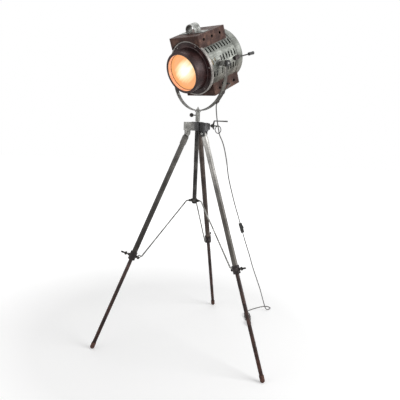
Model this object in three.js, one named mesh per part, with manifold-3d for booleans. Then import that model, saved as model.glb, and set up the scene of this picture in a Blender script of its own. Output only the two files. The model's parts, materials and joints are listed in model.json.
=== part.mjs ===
// Tripod floor lamp: a studio spotlight on a folding, telescoping stand. Millimetres, +Z up.
// The origin is on the floor, in the middle of the rectangle round the three feet.
import * as THREE from "three";
import { mergeVertices } from "three/addons/utils/BufferGeometryUtils.js";
import Module from "manifold-3d";

const wasm = await Module();
wasm.setup();

// ---- clearances and facets ----
const GAP = 0.3; // between faces that touch
const RUN = 0.4; // radial clearance of what turns or slides
const CORD_PLAY = 0.6; // radial clearance round the cord
const BITE = 1; // how far pieces that are joined run into each other, and tools run past a face
const EASE = 1; // chamfer on a turned edge
const FINE = 40; // facets round the head
const MEDIUM = 16; // facets round tubes and knobs
const COARSE = 10; // facets round pins and small rods
const HEXAGON = 6;

// ---- driving dimensions: hub and column ----
const HINGE_HEIGHT = 1050; // leg hinges above the floor
const HINGE_RADIUS = 46; // leg hinges from the column's axis
const FOOT_RADIUS = 479; // middle of each foot's worn face from the column's axis
const LEG_AZIMUTHS = [-166.74, -46.74, 73.26];
const HUB_HEIGHT = 38;
const HUB_WALL = 23; // round the column's bore
const HUB_RIM_HEIGHT = 2;
const HUB_RIM_INSET = 6;
const HUB_LIFT = 1; // hub's underside above the tongues
const LOBE_TIP = 17; // hub beyond the hinge axis
const LOBE_CHEEK = 3.4; // hub beside each ear
const LOBE_CORNER = 6;
const COLUMN_BORE_DEPTH = 24;
const EAR_THICKNESS = 5;
const EAR_RADIUS = 12;
const TONGUE_THICKNESS = 12;
const TONGUE_RADIUS = 11;
const HINGE_BOLT_RADIUS = 4;
const HINGE_BOLT_HEAD_RADIUS = 6.5;
const HINGE_BOLT_HEAD_HEIGHT = 4;
const COLUMN_RADIUS = 10;
const COLUMN_BOTTOM = 724;
const STOP_LIP = 2;
const STOP_THICKNESS = 8;
const STEM_RADIUS = 7;
const STEM_RISE = 36; // above the hub
const STEM_DEPTH = 11; // inside the hub

// ---- driving dimensions: legs ----
const LOWER_TUBE_RADIUS = 9;
const LOWER_TUBE_WALL = 1.6;
const LOWER_TUBE_OVERLAP = 130; // length held inside the upper tube
const TUBE_PLAY = 1; // between the lower and the upper tube
const UPPER_TUBE_WALL = 2.5;
const SOCKET_WALL = 2;
const SOCKET_LENGTH = 40;
const SOCKET_DROP = 17; // from the hinge to the socket's top
const SOCKET_CAP = 6;
const SOCKET_CHAMFER = 2;
const CLAMP_DISTANCE = 635; // from the hinge to the middle of the clamp
const CLAMP_WALL = 4.5;
const CLAMP_LENGTH = 38;
const CLAMP_LIP = 12; // the clamp's grip below the end of the upper tube
const CLAMP_BOSS_RADIUS = 6.5;
const CLAMP_BOSS_RISE = 7; // boss above the clamp's wall
const CLAMP_SCREW_RADIUS = 3;
const CLAMP_SCREW_DEPTH = 6;
const CLAMP_SCREW_SHOW = 4; // screw seen between boss and handle
const CLAMP_HANDLE_LENGTH = 32;
const CLAMP_HANDLE_RADIUS = 4.5;
const CLAMP_HANDLE_ROOT = 3.6; // its radius at the boss
const CLAMP_HANDLE_TIP = { radius: 3, length: 6 };
const CLAMP_WING = { length: 10, start: 2, reach: 8, thickness: 3 };
const FOOT_TIP_RADIUS = 11;
const FOOT_SLEEVE = 23; // foot above the middle of its round tip
const FOOT_SEAT = 18; // depth of the tube in the foot
const FOOT_WEAR = 0.8; // depth of the flat worn on the tip
const FOOT_CUFF = 2; // height of its chamfered top edge

// ---- driving dimensions: spreader ----
const COLLAR_WALL = 5.6;
const COLLAR_HEIGHT = 14;
const LUG_THICKNESS = 4.8;
const LUG_RADIUS = 6;
const COLLAR_PIN_REACH = 23; // from the column's axis
const CLAMP_PIN_REACH = 26; // from the leg's axis
const PIN_RADIUS = 2.5;
const PIN_HEAD_RADIUS = 4.4;
const PIN_HEAD_THICKNESS = 1.6;
const BRACE_RADIUS = 3.4;
const BRACE_EYE_WALL = 2.8;
const BRACE_SLOT_TRAVEL = 9; // how far the clamp's pin slides in the brace as the legs fold
const BRACE_SLOT_PLAY = 1.6; // either side of the pin
const BRACE_HOOK = 16; // level stretch at the collar
const BRACE_TOE = 12; // level stretch at the leg

// ---- driving dimensions: clamp on the hub's side ----
const STUD_AZIMUTH = 13.3;
const STUD_RADIUS = 3;
const STUD_HEIGHT = 24; // above the hub's underside
const STUD_DEPTH = 12;
const STUD_REACH = 101; // from the column's axis
const CLAMP_BLOCK = { reach: 59, width: 18, height: 30, corner: 4, drop: 4 }; // drop: below the stud's axis
const WING_NUT_SETBACK = 7; // from the block to the nut
const WING_NUT_RADIUS = 7.5;
const WING_NUT_LENGTH = 14;
const WING = { span: 18, thickness: 5, start: 2, tip: 3, waist: 1 }; // span: from the stud's axis
const LEVER_NECK = { below: 4, before: 2, beyond: 1 }; // its ends, from the wing's tip and the nut's end
const LEVER_RISE = 23;
const LEVER_LENGTH = 66;
const LEVER_RADIUS = 2.5;
const LEVER_TIP_RADIUS = 3.5;
const RING_WIRE = 2;
const RING_RADIUS = 17;
const RING_WELD = 1; // bead round the stud's end
const RING_AZIMUTH = -130;

// ---- driving dimensions: yoke and pan socket ----
const HEAD_YAW = -43;
const HEAD_TILT = 23.3;
const YOKE_RADIUS = 156; // of the strap's middle line
const YOKE_ARM = 49.6; // straight, from the bend to the tilt axis
const YOKE_WIDTH = 20;
const YOKE_THICKNESS = 4;
const YOKE_END = 14; // strap above the tilt axis
const PAN_TUBE_WALL = 2.8;
const PAN_TUBE_LIFT = 4; // above the hub
const PAN_FLANGE_RADIUS = 14;
const PAN_FLANGE_THICKNESS = 4;
const PAN_ROOF = 3; // between the stem's bore and the bolt's
const YOKE_BOLT_RADIUS = 3.5;
const YOKE_BOLT_DEPTH = 12;
const YOKE_NUT_RADIUS = 7.5;
const YOKE_NUT_HEIGHT = 6;
const YOKE_BOLT_TIP = 9;
const PAN_KNOB_AZIMUTH = -130; // from the yoke's right arm
const PAN_KNOB_DROP = 4; // below the stem's top
const PAN_KNOB_RADIUS = 9.5;
const PAN_KNOB_REACH = 29;
const PAN_SCREW_RADIUS = 2.5;
const CLIP_WALL = 1.6;
const CLIP_LENGTH = 12;
const CLIP_LEAF = 9;
const CLIP_ANGLES = { upper: 28, lower: 47 }; // round the strap's bend, below level

// ---- driving dimensions: head ----
const DRUM_RADIUS = 118;
const DRUM_WALL = 2;
const DRUM_FRONT = -54;
const DRUM_BACK = 134;
const BEAD_RADIUS = 2.6;
const SLOT_ROWS = [35, 9, -17]; // degrees above level, on each side
const SLOT = { count: 9, first: -40, pitch: 19.5, width: 7.5, length: 27, clear: 5 };
const RIM_WIDTH = 3.4; // rim ring round the drum
const RIM_SKIRT = 4; // over the drum's edge
const RIM_STEP = 3; // of the bezel under the ring
const RIM_FRONT = 4.5;
const RIM_CHAMFER = 2;
const RIM_INNER_CHAMFER = 1.5;
const COVER_LENGTH = 42;
const COVER_EDGE = 12; // rounding of the cover's edge
const DISH_RIM_RADIUS = 70;
const DISH_RADIUS = 60;
const DISH_DEPTH = 8;
const FLANGE_THICKNESS = 6;
const SNOOT_RADIUS = 94; // at its root
const SNOOT_LENGTH = 63;
const SNOOT_TAPER = 4;
const SNOOT_WALL = 3; // of the outer shell, and of the sleeve round the lens
const SNOOT_ROOT = { radius: 5, foot: 2, step: 1 }; // fillet on the flange
const LIP_WIDTH = 2; // lip outside the shell
const LIP_LENGTH = 5;
const LIP_FACE = 10; // from the shell's tip in to the sleeve's inside
const LENS_SETBACK = 18; // edge of the lens from the lip
const LENS_EDGE = 6;
const LENS_BULGE = 11;
const BULGE_STEPS = 6;
const LENS_SEAT = 4;
const TRUNNION_RADIUS = 11;
const TRUNNION_FLANGE_RADIUS = 17;
const TRUNNION_FLANGE_RISE = 4;
const TILT_SCREW_RADIUS = 4;
const TILT_SCREW_DEPTH = 14; // inside the drum
const TILT_KNOB_RADIUS = 13.5;
const TILT_KNOB_HUB_RADIUS = 9;
const TILT_KNOB_THICKNESS = 12;
const TILT_KNOB_SHOULDER = 4;
const TILT_KNOB_CHAMFER = 2;
const BOX_WALL = 2;
const BOX_CORNER = 5;
const TOP_BOX = { halfWidth: 86, front: -67, length: 185, height: 138 };
const TOP_HOLES = { places: [-31, 24, 79], height: 114 };
const LOW_BOX = { halfWidth: 88, front: -40, length: 186, height: 133 };
const LOW_HOLES = { places: [3, 55.5, 108], height: 110 };
const HOLE_RADIUS = 6.5;
const HANDLE_HALF_SPAN = 27;
const HANDLE_RISE = 40;
const HANDLE_WIDTH = 40;
const HANDLE_THICKNESS = 3;
const HANDLE_FOOT = 46;
const HANDLE_SETBACK = 8;
const ROD_RADIUS = 3;
const ROD_DROP = 8; // below the tilt axis
const ROD_OFFSET = 8; // from the drum to the rod's axis
const ROD_START = 94;
const ROD_LENGTH = 142;
const ROD_SLOPE = 7.7; // degrees, down towards its grip
const BRACKET_LENGTH = 28;
const BRACKET_HEIGHT = 16;
const BRACKET_WALL = 3;
const BRACKET_START = 98;
const GRIP_RADIUS = 8;
const GRIP_LENGTH = 40;
const GRIP_CAP = 6;
const GRIP_END = { length: 4, front: 2, back: 3 }; // its rounded ends
const GRIP_WAIST = 1;

// ---- driving dimensions: light source ----
const REFLECTOR_RADIUS = 75;
const REFLECTOR_DEPTH = 40;
const REFLECTOR_WALL = 1.6;
const REFLECTOR_GRIP = 8; // its neck over the lamp holder
const REFLECTOR_CURVE = { power: 1.6, shares: [0, 0.4, 0.7, 1] };
const HOLDER_RADIUS = 20;
const HOLDER_LENGTH = 46;
const BULB_RADIUS = 30;
const BULB_NECK_RADIUS = 13;
const BULB_NECK_LENGTH = 32;
const BULB_LENGTH = 96;
const BULB_SEAT = 14; // of the neck in the holder
const STAY_WIDTH = 28;
const STAY_THICKNESS = 3;
const STAY_LENGTH = 104;

// ---- driving dimensions: cord and what is on it ----
const CORD_RADIUS = 2.5;
const CORD_SIDES = 8;
const GLAND_NUT_RADIUS = 9;
const GLAND_NUT_THICKNESS = 6;
const GLAND_BACK = 30; // behind the tilt axis
const GLAND_DROP = 100; // below the tilt axis
const GLAND_HOLE_START = 2; // of the cord's hole, from the middle of the box
const RELIEF_LENGTH = 22;
const RELIEF_ROOT_RADIUS = 5.8;
const RELIEF_TIP_RADIUS = 4;
// outline: a quarter of the switch, from its middle's side to its end, across and along
const SWITCH = { length: 58, height: 18, outline: [[12, 9], [10.5, 18], [7, 26], [5.5, 29]] };
const SLIDER = { length: 14, width: 8, height: 3, recess: 1.5, travel: 6 };
const SWITCH_AT = { place: [254, 186, 556], direction: [0.302, 0.324, -0.896] }; // on the cord's route
const HANK = { length: 100, width: 35, height: 13, x: 331, back: 348 };
const PLUG = { length: 34, width: 22, height: 17, corner: 4, relief: 16 };
const BLADE = { length: 16, width: 6.4, thickness: 1.6, spacing: 12.7 };

// ---- finishes ----
const finish = (color, metalness, roughness) => ({ color, metalness, roughness });
const FINISH = {
  bronze: finish(0x4f3b36, 0.7, 0.5),
  black: finish(0x2b2022, 0.5, 0.5),
  steel: finish(0xb7bab6, 0.9, 0.35),
  nickel: finish(0x8d8b84, 0.85, 0.4),
  iron: finish(0x5d5b57, 0.7, 0.5),
  umber: finish(0x3a2c28, 0.6, 0.5),
  rubber: finish(0x2a2422, 0, 0.85),
  plastic: finish(0x1b1b1c, 0, 0.5),
  cord: finish(0x55534f, 0, 0.7),
  glass: finish(0xffd9a0, 0, 0.15),
  mirror: finish(0xdadada, 1, 0.15),
  ceramic: finish(0xe8e2d6, 0, 0.4),
};

// ---- solids ----
const { PI, abs, atan2, cos, hypot, max, min, sin } = Math;
const radians = THREE.MathUtils.degToRad;

const WELD = 1e-4; // vertices closer than this are one

// A closed geometry as a manifold-3d solid, with its shared vertices merged.
function solid(geometry) {
  const bare = geometry.index ? geometry.toNonIndexed() : geometry.clone();
  bare.deleteAttribute("normal");
  bare.deleteAttribute("uv");
  const merged = mergeVertices(bare, WELD);
  const triVerts = [];
  const index = merged.index.array;
  for (let i = 0; i < index.length; i += 3) {
    const [a, b, c] = [index[i], index[i + 1], index[i + 2]];
    if (a !== b && b !== c && c !== a) triVerts.push(a, b, c);
  }
  const vertProperties = merged.attributes.position.array;
  const mesh = new wasm.Mesh({ numProp: 3, vertProperties, triVerts: new Uint32Array(triVerts) });
  return new wasm.Manifold(mesh);
}

function geometryOf(shape) {
  const mesh = shape.getMesh();
  const geometry = new THREE.BufferGeometry();
  geometry.setAttribute("position", new THREE.BufferAttribute(mesh.vertProperties, 3));
  geometry.setIndex(new THREE.BufferAttribute(mesh.triVerts, 1));
  const faceted = geometry.toNonIndexed();
  faceted.computeVertexNormals();
  return faceted;
}

const join = (...pieces) => geometryOf(pieces.map(solid).reduce((whole, next) => whole.add(next)));
const cut = (piece, ...tools) =>
  geometryOf(tools.map(solid).reduce((left, tool) => left.subtract(tool), solid(piece)));

const block = (x, y, z) => new THREE.BoxGeometry(x, y, z);
const moved = (geometry, x, y, z) => geometry.clone().translate(x, y, z);
const alongX = (geometry) => geometry.clone().rotateY(PI / 2);
const alongY = (geometry) => geometry.clone().rotateX(-PI / 2);

// A round bar from the origin along +Z, with a radius for each end.
const bar = (bottom, top, length, sides = COARSE) =>
  new THREE.CylinderGeometry(top, bottom, length, sides).rotateX(PI / 2).translate(0, 0, length / 2);
const pin = (radius, length, sides) => bar(radius, radius, length, sides);
// A long round tool for a bore through everything along +Z and -Z.
const bore = (radius, length, sides) => moved(pin(radius, 2 * length, sides), 0, 0, -length);

// A turned piece about +Z, from a closed outline of [radius, height] points.
function turned(points, sides = MEDIUM) {
  const onAxis = points[0][0] === 0 && points.at(-1)[0] === 0;
  const outline = onAxis ? points : [...points, points[0]];
  const next = (i) => points[(i + 1) % points.length];
  const area = points.reduce((sum, [r, z], i) => sum + r * next(i)[1] - next(i)[0] * z, 0);
  const wound = area > 0 ? outline : [...outline].reverse();
  return new THREE.LatheGeometry(wound.map(([r, z]) => new THREE.Vector2(r, z)), sides).rotateX(PI / 2);
}

const sleeve = (inner, outer, bottom, top, sides) =>
  turned([[inner, bottom], [outer, bottom], [outer, top], [inner, top]], sides);

// Points of an arc, as an outline takes them.
const arcPoints = (x, y, radius, start, end, steps) =>
  Array.from({ length: steps + 1 }, (_, i) => {
    const turn = radians(start + ((end - start) * i) / steps);
    return [x + radius * cos(turn), y + radius * sin(turn)];
  });

// A flat plate whose outline stands in X and Z, centred on Y.
const plate = (outline, thickness, curveSegments = 4) =>
  new THREE.ExtrudeGeometry(outline, { depth: thickness, bevelEnabled: false, curveSegments })
    .rotateX(PI / 2)
    .translate(0, thickness / 2, 0);

// A prism along +Z whose outline lies in X and Y.
const prism = (outline, height, curveSegments = 4) =>
  new THREE.ExtrudeGeometry(outline, { depth: height, bevelEnabled: false, curveSegments });

function roundEnded([x1, y1], [x2, y2], radius) {
  const turn = atan2(y2 - y1, x2 - x1);
  return new THREE.Shape()
    .absarc(x1, y1, radius, turn + PI / 2, turn + PI * 1.5, false)
    .absarc(x2, y2, radius, turn - PI / 2, turn + PI / 2, false);
}

function rounded(width, height, corner) {
  const [x, y] = [width / 2 - corner, height / 2 - corner];
  return new THREE.Shape()
    .absarc(x, -y, corner, -PI / 2, 0, false)
    .absarc(x, y, corner, 0, PI / 2, false)
    .absarc(-x, y, corner, PI / 2, PI, false)
    .absarc(-x, -y, corner, PI, PI * 1.5, false);
}

// A round rod along a curve, with flat closed ends.
function swept(curve, radius, sides, steps) {
  const corner = (i) => [radius * cos((2 * PI * i) / sides), radius * sin((2 * PI * i) / sides)];
  const section = new THREE.Shape(Array.from({ length: sides }, (_, i) => new THREE.Vector2(...corner(i))));
  return new THREE.ExtrudeGeometry(section, { steps, extrudePath: curve, bevelEnabled: false });
}

// A round rod through points, with a round elbow at each corner.
function bentRod(points, radius) {
  const up = new THREE.Vector3(0, 0, 1);
  const straights = points.slice(1).map((end, i) => {
    const run = end.clone().sub(points[i]);
    const turn = new THREE.Quaternion().setFromUnitVectors(up, run.clone().normalize());
    return pin(radius, run.length(), 8).applyQuaternion(turn).translate(...points[i]);
  });
  const elbows = points.slice(1, -1).map((at) => new THREE.SphereGeometry(radius, 8, 6).translate(...at));
  return join(...straights, ...elbows);
}

// ---- scene graph ----
const lamp = new THREE.Group();

function group(parent, x, y, z) {
  const made = new THREE.Group();
  made.position.set(x, y, z);
  parent.add(made);
  return made;
}

function turnedGroup(parent, degrees) {
  const made = group(parent, 0, 0, 0);
  made.rotation.z = radians(degrees);
  return made;
}

function add(parent, name, geometry, look) {
  const mesh = new THREE.Mesh(geometryOf(solid(geometry)), new THREE.MeshStandardMaterial(look));
  mesh.name = name;
  parent.add(mesh);
}

// ---- places that several pieces share ----
const hubFloor = HINGE_HEIGHT + TONGUE_RADIUS + HUB_LIFT;
const hubTop = hubFloor + HUB_HEIGHT;
const hubRadius = COLUMN_RADIUS + HUB_WALL;
const earSpace = TONGUE_THICKNESS + 2 * GAP;
const footHeight = FOOT_TIP_RADIUS - FOOT_WEAR; // middle of the foot's round tip
const legSpread = atan2(FOOT_RADIUS - HINGE_RADIUS, HINGE_HEIGHT - footHeight);
const footDistance = hypot(FOOT_RADIUS - HINGE_RADIUS, HINGE_HEIGHT - footHeight);
const clampTop = CLAMP_LENGTH / 2 - CLAMP_DISTANCE;
const clampBottom = clampTop - CLAMP_LENGTH;
const upperTubeEnd = clampBottom + CLAMP_LIP;
const upperTubeRadius = LOWER_TUBE_RADIUS + TUBE_PLAY + UPPER_TUBE_WALL;
const clampRadius = upperTubeRadius + CLAMP_WALL;
const collarMiddle = COLUMN_BOTTOM + GAP + COLLAR_HEIGHT / 2;
const braceSide = LUG_THICKNESS / 2 + GAP + BRACE_RADIUS;
const fromLeg = new THREE.Matrix4()
  .makeTranslation(HINGE_RADIUS, 0, HINGE_HEIGHT)
  .multiply(new THREE.Matrix4().makeRotationY(-legSpread));

const stemTop = hubTop + STEM_RISE;
const boltBottom = stemTop + GAP + PAN_ROOF;
const panTop = boltBottom + GAP + YOKE_BOLT_DEPTH;
const yokeBase = panTop + GAP;
const bendCentre = yokeBase + YOKE_THICKNESS / 2 + YOKE_RADIUS;
const tiltHeight = bendCentre + YOKE_ARM;
const yokeInside = YOKE_RADIUS - YOKE_THICKNESS / 2;
const yokeOutside = YOKE_RADIUS + YOKE_THICKNESS / 2;

const middleOfFeet = (ofAngle) => {
  const places = LEG_AZIMUTHS.map((azimuth) => FOOT_RADIUS * ofAngle(radians(azimuth)));
  return (max(...places) + min(...places)) / 2;
};
const stand = group(lamp, -middleOfFeet(cos), -middleOfFeet(sin), 0);

// ---- hub, column and stem ----
function lobe(azimuth) {
  const reach = HINGE_RADIUS + LOBE_TIP;
  const width = earSpace + 2 * (EAR_THICKNESS + LOBE_CHEEK);
  const outline = rounded(reach, width, LOBE_CORNER);
  return moved(prism(outline, HUB_HEIGHT, 3), reach / 2, 0, hubFloor).rotateZ(radians(azimuth));
}

function ear(azimuth, side) {
  const root = [HINGE_RADIUS, hubFloor + EAR_RADIUS];
  const outline = roundEnded([HINGE_RADIUS, HINGE_HEIGHT], root, EAR_RADIUS);
  const bolt = alongY(bore(HINGE_BOLT_RADIUS + GAP, 2 * EAR_THICKNESS));
  const hole = moved(bolt, HINGE_RADIUS, 0, HINGE_HEIGHT);
  const offset = (side * (earSpace + EAR_THICKNESS)) / 2;
  return moved(cut(plate(outline, EAR_THICKNESS), hole), 0, offset, 0).rotateZ(radians(azimuth));
}

function makeHub() {
  const core = moved(pin(hubRadius, HUB_HEIGHT, MEDIUM), 0, 0, hubFloor);
  const rim = moved(pin(hubRadius - HUB_RIM_INSET, HUB_HEIGHT + HUB_RIM_HEIGHT, MEDIUM), 0, 0, hubFloor);
  const { reach, width, height, corner, drop } = CLAMP_BLOCK;
  const side = alongX(prism(rounded(height, width, corner), reach)).rotateZ(radians(STUD_AZIMUTH));
  const clampBlock = moved(side, 0, 0, hubFloor + STUD_HEIGHT - drop);
  const ears = LEG_AZIMUTHS.flatMap((azimuth) => [ear(azimuth, -1), ear(azimuth, 1)]);
  const body = join(core, rim, clampBlock, ...LEG_AZIMUTHS.map(lobe), ...ears);
  const columnHole = moved(bore(COLUMN_RADIUS + GAP, COLUMN_BORE_DEPTH, MEDIUM), 0, 0, hubFloor);
  const stemHole = moved(pin(STEM_RADIUS + GAP, STEM_DEPTH + HUB_HEIGHT, MEDIUM), 0, 0, hubTop - STEM_DEPTH);
  const stud = alongX(pin(STUD_RADIUS + GAP, reach));
  const studHole = moved(stud, reach - STUD_DEPTH, 0, hubFloor + STUD_HEIGHT).rotateZ(radians(STUD_AZIMUTH));
  add(stand, "hub", cut(body, columnHole, stemHole, studHole), FINISH.nickel);
}

function makeColumn() {
  const top = hubFloor + COLUMN_BORE_DEPTH - GAP;
  const column = moved(pin(COLUMN_RADIUS, top - COLUMN_BOTTOM, MEDIUM), 0, 0, COLUMN_BOTTOM);
  add(stand, "column", column, FINISH.iron);
  const radius = COLUMN_RADIUS + STOP_LIP;
  const stop = bar(COLUMN_RADIUS, radius, STOP_THICKNESS, MEDIUM);
  add(stand, "column_stop", moved(stop, 0, 0, COLUMN_BOTTOM - GAP - STOP_THICKNESS), FINISH.black);
  const stem = pin(STEM_RADIUS, STEM_DEPTH - GAP + STEM_RISE, MEDIUM);
  add(stand, "stem", moved(stem, 0, 0, hubTop - STEM_DEPTH + GAP), FINISH.steel);
}

// ---- clamp on the hub's side: stud with the cord's guide ring, and its lever nut ----
function makeHubClamp() {
  const side = turnedGroup(stand, STUD_AZIMUTH);
  const axis = hubFloor + STUD_HEIGHT;
  const start = CLAMP_BLOCK.reach - STUD_DEPTH + GAP;
  const stud = moved(alongX(pin(STUD_RADIUS, STUD_REACH - start)), start, 0, axis);
  const facing = radians(RING_AZIMUTH - STUD_AZIMUTH);
  const ring = new THREE.TorusGeometry(RING_RADIUS, RING_WIRE, 6, MEDIUM).rotateY(PI / 2).rotateZ(facing);
  const weld = moved(new THREE.SphereGeometry(STUD_RADIUS + RING_WELD, COARSE, 6), STUD_REACH, 0, axis);
  const guide = join(stud, weld, moved(ring, STUD_REACH, 0, axis - RING_RADIUS));
  add(side, "cord_guide", guide, FINISH.iron);

  const nutStart = CLAMP_BLOCK.reach + WING_NUT_SETBACK;
  const nutEnd = nutStart + WING_NUT_LENGTH;
  const wings = new THREE.Shape()
    .moveTo(nutStart + WING.start, -WING_NUT_RADIUS / 2)
    .lineTo(nutEnd, -WING.span)
    .lineTo(nutEnd + WING.tip, -WING.span)
    .lineTo(nutEnd - WING.waist, 0)
    .lineTo(nutEnd + WING.tip, WING.span)
    .lineTo(nutEnd, WING.span)
    .lineTo(nutStart + WING.start, WING_NUT_RADIUS / 2);
  const neckRoot = [nutEnd - LEVER_NECK.before, WING.span - LEVER_NECK.below];
  const neckTop = [nutEnd + LEVER_NECK.beyond, LEVER_RISE];
  const neck = plate(roundEnded(neckRoot, neckTop, LEVER_RADIUS), WING.thickness);
  const nut = moved(alongX(pin(WING_NUT_RADIUS, WING_NUT_LENGTH, MEDIUM)), nutStart, 0, 0);
  const lever = moved(alongX(bar(LEVER_RADIUS, LEVER_TIP_RADIUS, LEVER_LENGTH)), nutEnd, 0, LEVER_RISE);
  const hole = alongX(bore(STUD_RADIUS + RUN, STUD_REACH));
  const wingNut = cut(join(nut, plate(wings, WING.thickness), neck, lever), hole);
  add(side, "hub_clamp_lever", moved(wingNut, 0, 0, axis), FINISH.iron);
}

// ---- legs: local -Z runs down the leg, +X points outwards ----
function makeHingeBolt(parent, number) {
  const half = earSpace / 2 + EAR_THICKNESS + GAP;
  const shank = alongY(bore(HINGE_BOLT_RADIUS, half + BITE));
  const head = alongY(bar(HINGE_BOLT_HEAD_RADIUS, HINGE_BOLT_HEAD_RADIUS - EASE, HINGE_BOLT_HEAD_HEIGHT));
  const heads = [moved(head, 0, half, 0), moved(head, 0, half, 0).rotateX(PI)];
  const bolt = moved(join(shank, ...heads), HINGE_RADIUS, 0, HINGE_HEIGHT);
  add(parent, `hinge_bolt_${number}`, bolt, FINISH.steel);
}

function makeUpperLeg(parent, number) {
  const inside = upperTubeRadius - UPPER_TUBE_WALL;
  const outside = upperTubeRadius + SOCKET_WALL;
  const socketEnd = -SOCKET_DROP - SOCKET_LENGTH;
  const tube = turned([
    [0, -SOCKET_DROP],
    [outside - SOCKET_CHAMFER, -SOCKET_DROP],
    [outside, -SOCKET_DROP - SOCKET_CHAMFER],
    [outside, socketEnd],
    [upperTubeRadius, socketEnd],
    [upperTubeRadius, upperTubeEnd],
    [inside, upperTubeEnd],
    [inside, -SOCKET_DROP - SOCKET_CAP],
    [0, -SOCKET_DROP - SOCKET_CAP],
  ]);
  const tongueLength = SOCKET_DROP + SOCKET_CHAMFER;
  const tongue = moved(block(2 * TONGUE_RADIUS, TONGUE_THICKNESS, tongueLength), 0, 0, -tongueLength / 2);
  const eye = alongY(moved(pin(TONGUE_RADIUS, TONGUE_THICKNESS, MEDIUM), 0, 0, -TONGUE_THICKNESS / 2));
  const hole = alongY(bore(HINGE_BOLT_RADIUS + RUN, TONGUE_THICKNESS));
  add(parent, `upper_leg_${number}`, cut(join(tube, tongue, eye), hole), FINISH.nickel);
}

// A flat lug along +X with a headed pin, which carries the end of a brace.
function lugWithPin(reach) {
  const lug = plate(roundEnded([0, 0], [reach, 0], LUG_RADIUS), LUG_THICKNESS);
  const headStart = LUG_THICKNESS / 2 + 2 * (BRACE_RADIUS + GAP);
  const shank = moved(alongY(pin(PIN_RADIUS, headStart + PIN_HEAD_THICKNESS / 2)), reach, 0, 0);
  const head = moved(alongY(pin(PIN_HEAD_RADIUS, PIN_HEAD_THICKNESS)), reach, headStart, 0);
  return join(lug, shank, head);
}

function makeLegClamp(parent, number) {
  const bossEnd = clampRadius + CLAMP_BOSS_RISE;
  const wall = sleeve(LOWER_TUBE_RADIUS + RUN, clampRadius, clampBottom, clampTop);
  const shell = moved(wall, 0, 0, CLAMP_DISTANCE);
  const boss = alongX(pin(CLAMP_BOSS_RADIUS, bossEnd, MEDIUM));
  const lug = lugWithPin(CLAMP_PIN_REACH).rotateY(PI);
  const tubeSpace = pin(upperTubeRadius + GAP, CLAMP_LENGTH, MEDIUM);
  const seat = moved(tubeSpace, 0, 0, upperTubeEnd - GAP + CLAMP_DISTANCE);
  const passage = bore(LOWER_TUBE_RADIUS + RUN, CLAMP_LENGTH, MEDIUM);
  const screwHole = moved(alongX(pin(CLAMP_SCREW_RADIUS + RUN, bossEnd)), bossEnd - CLAMP_SCREW_DEPTH, 0, 0);
  const clamp = cut(join(shell, boss, lug), seat, passage, screwHole);
  add(parent, `leg_clamp_${number}`, moved(clamp, 0, 0, -CLAMP_DISTANCE), FINISH.black);

  const screwStart = bossEnd - CLAMP_SCREW_DEPTH + GAP;
  const handleStart = bossEnd + CLAMP_SCREW_SHOW;
  const screw = moved(alongX(pin(CLAMP_SCREW_RADIUS, handleStart - screwStart + BITE)), screwStart, 0, 0);
  const handle = turned([
    [0, 0],
    [CLAMP_HANDLE_ROOT, 0],
    [CLAMP_HANDLE_RADIUS, CLAMP_HANDLE_LENGTH - CLAMP_HANDLE_TIP.length],
    [CLAMP_HANDLE_TIP.radius, CLAMP_HANDLE_LENGTH],
    [0, CLAMP_HANDLE_LENGTH],
  ], COARSE);
  const wingMiddle = handleStart + CLAMP_WING.start + CLAMP_WING.length / 2;
  const wing = moved(block(CLAMP_WING.length, CLAMP_WING.thickness, 2 * CLAMP_WING.reach), wingMiddle, 0, 0);
  const lever = join(screw, moved(alongX(handle), handleStart, 0, 0), wing);
  add(parent, `clamp_lever_${number}`, moved(lever, 0, 0, -CLAMP_DISTANCE), FINISH.iron);
}

function makeLowerLeg(parent, number) {
  const footTop = FOOT_SLEEVE - footDistance;
  const bottom = footTop - FOOT_SEAT;
  const inside = LOWER_TUBE_RADIUS - LOWER_TUBE_WALL;
  const tube = sleeve(inside, LOWER_TUBE_RADIUS, bottom, upperTubeEnd + LOWER_TUBE_OVERLAP);
  add(parent, `lower_leg_${number}`, tube, FINISH.umber);

  const tip = arcPoints(0, -footDistance, FOOT_TIP_RADIUS, -90, 0, 6);
  tip[0][0] = 0;
  const cuff = [[FOOT_TIP_RADIUS, footTop - FOOT_CUFF], [FOOT_TIP_RADIUS - EASE, footTop], [0, footTop]];
  const body = turned([...tip, ...cuff]);
  const seat = sleeve(inside - GAP, LOWER_TUBE_RADIUS + GAP, bottom - GAP, footTop + FOOT_SEAT);
  const floor = block(4 * FOOT_SEAT, 4 * FOOT_SEAT, FOOT_SEAT).translate(FOOT_RADIUS, 0, -FOOT_SEAT / 2);
  floor.applyMatrix4(fromLeg.clone().invert());
  add(parent, `foot_${number}`, cut(body, seat, floor), FINISH.rubber);
}

// ---- spreader: a collar on the column, with a brace to each leg's clamp ----
function makeCollar() {
  const half = COLLAR_HEIGHT / 2;
  const body = sleeve(COLUMN_RADIUS + RUN, COLUMN_RADIUS + COLLAR_WALL, -half, half);
  const lugs = LEG_AZIMUTHS.map((azimuth) => lugWithPin(COLLAR_PIN_REACH).rotateZ(radians(azimuth)));
  const collar = cut(join(body, ...lugs), bore(COLUMN_RADIUS + RUN, COLLAR_HEIGHT, MEDIUM));
  add(stand, "spreader_collar", moved(collar, 0, 0, collarMiddle), FINISH.iron);
}

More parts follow.
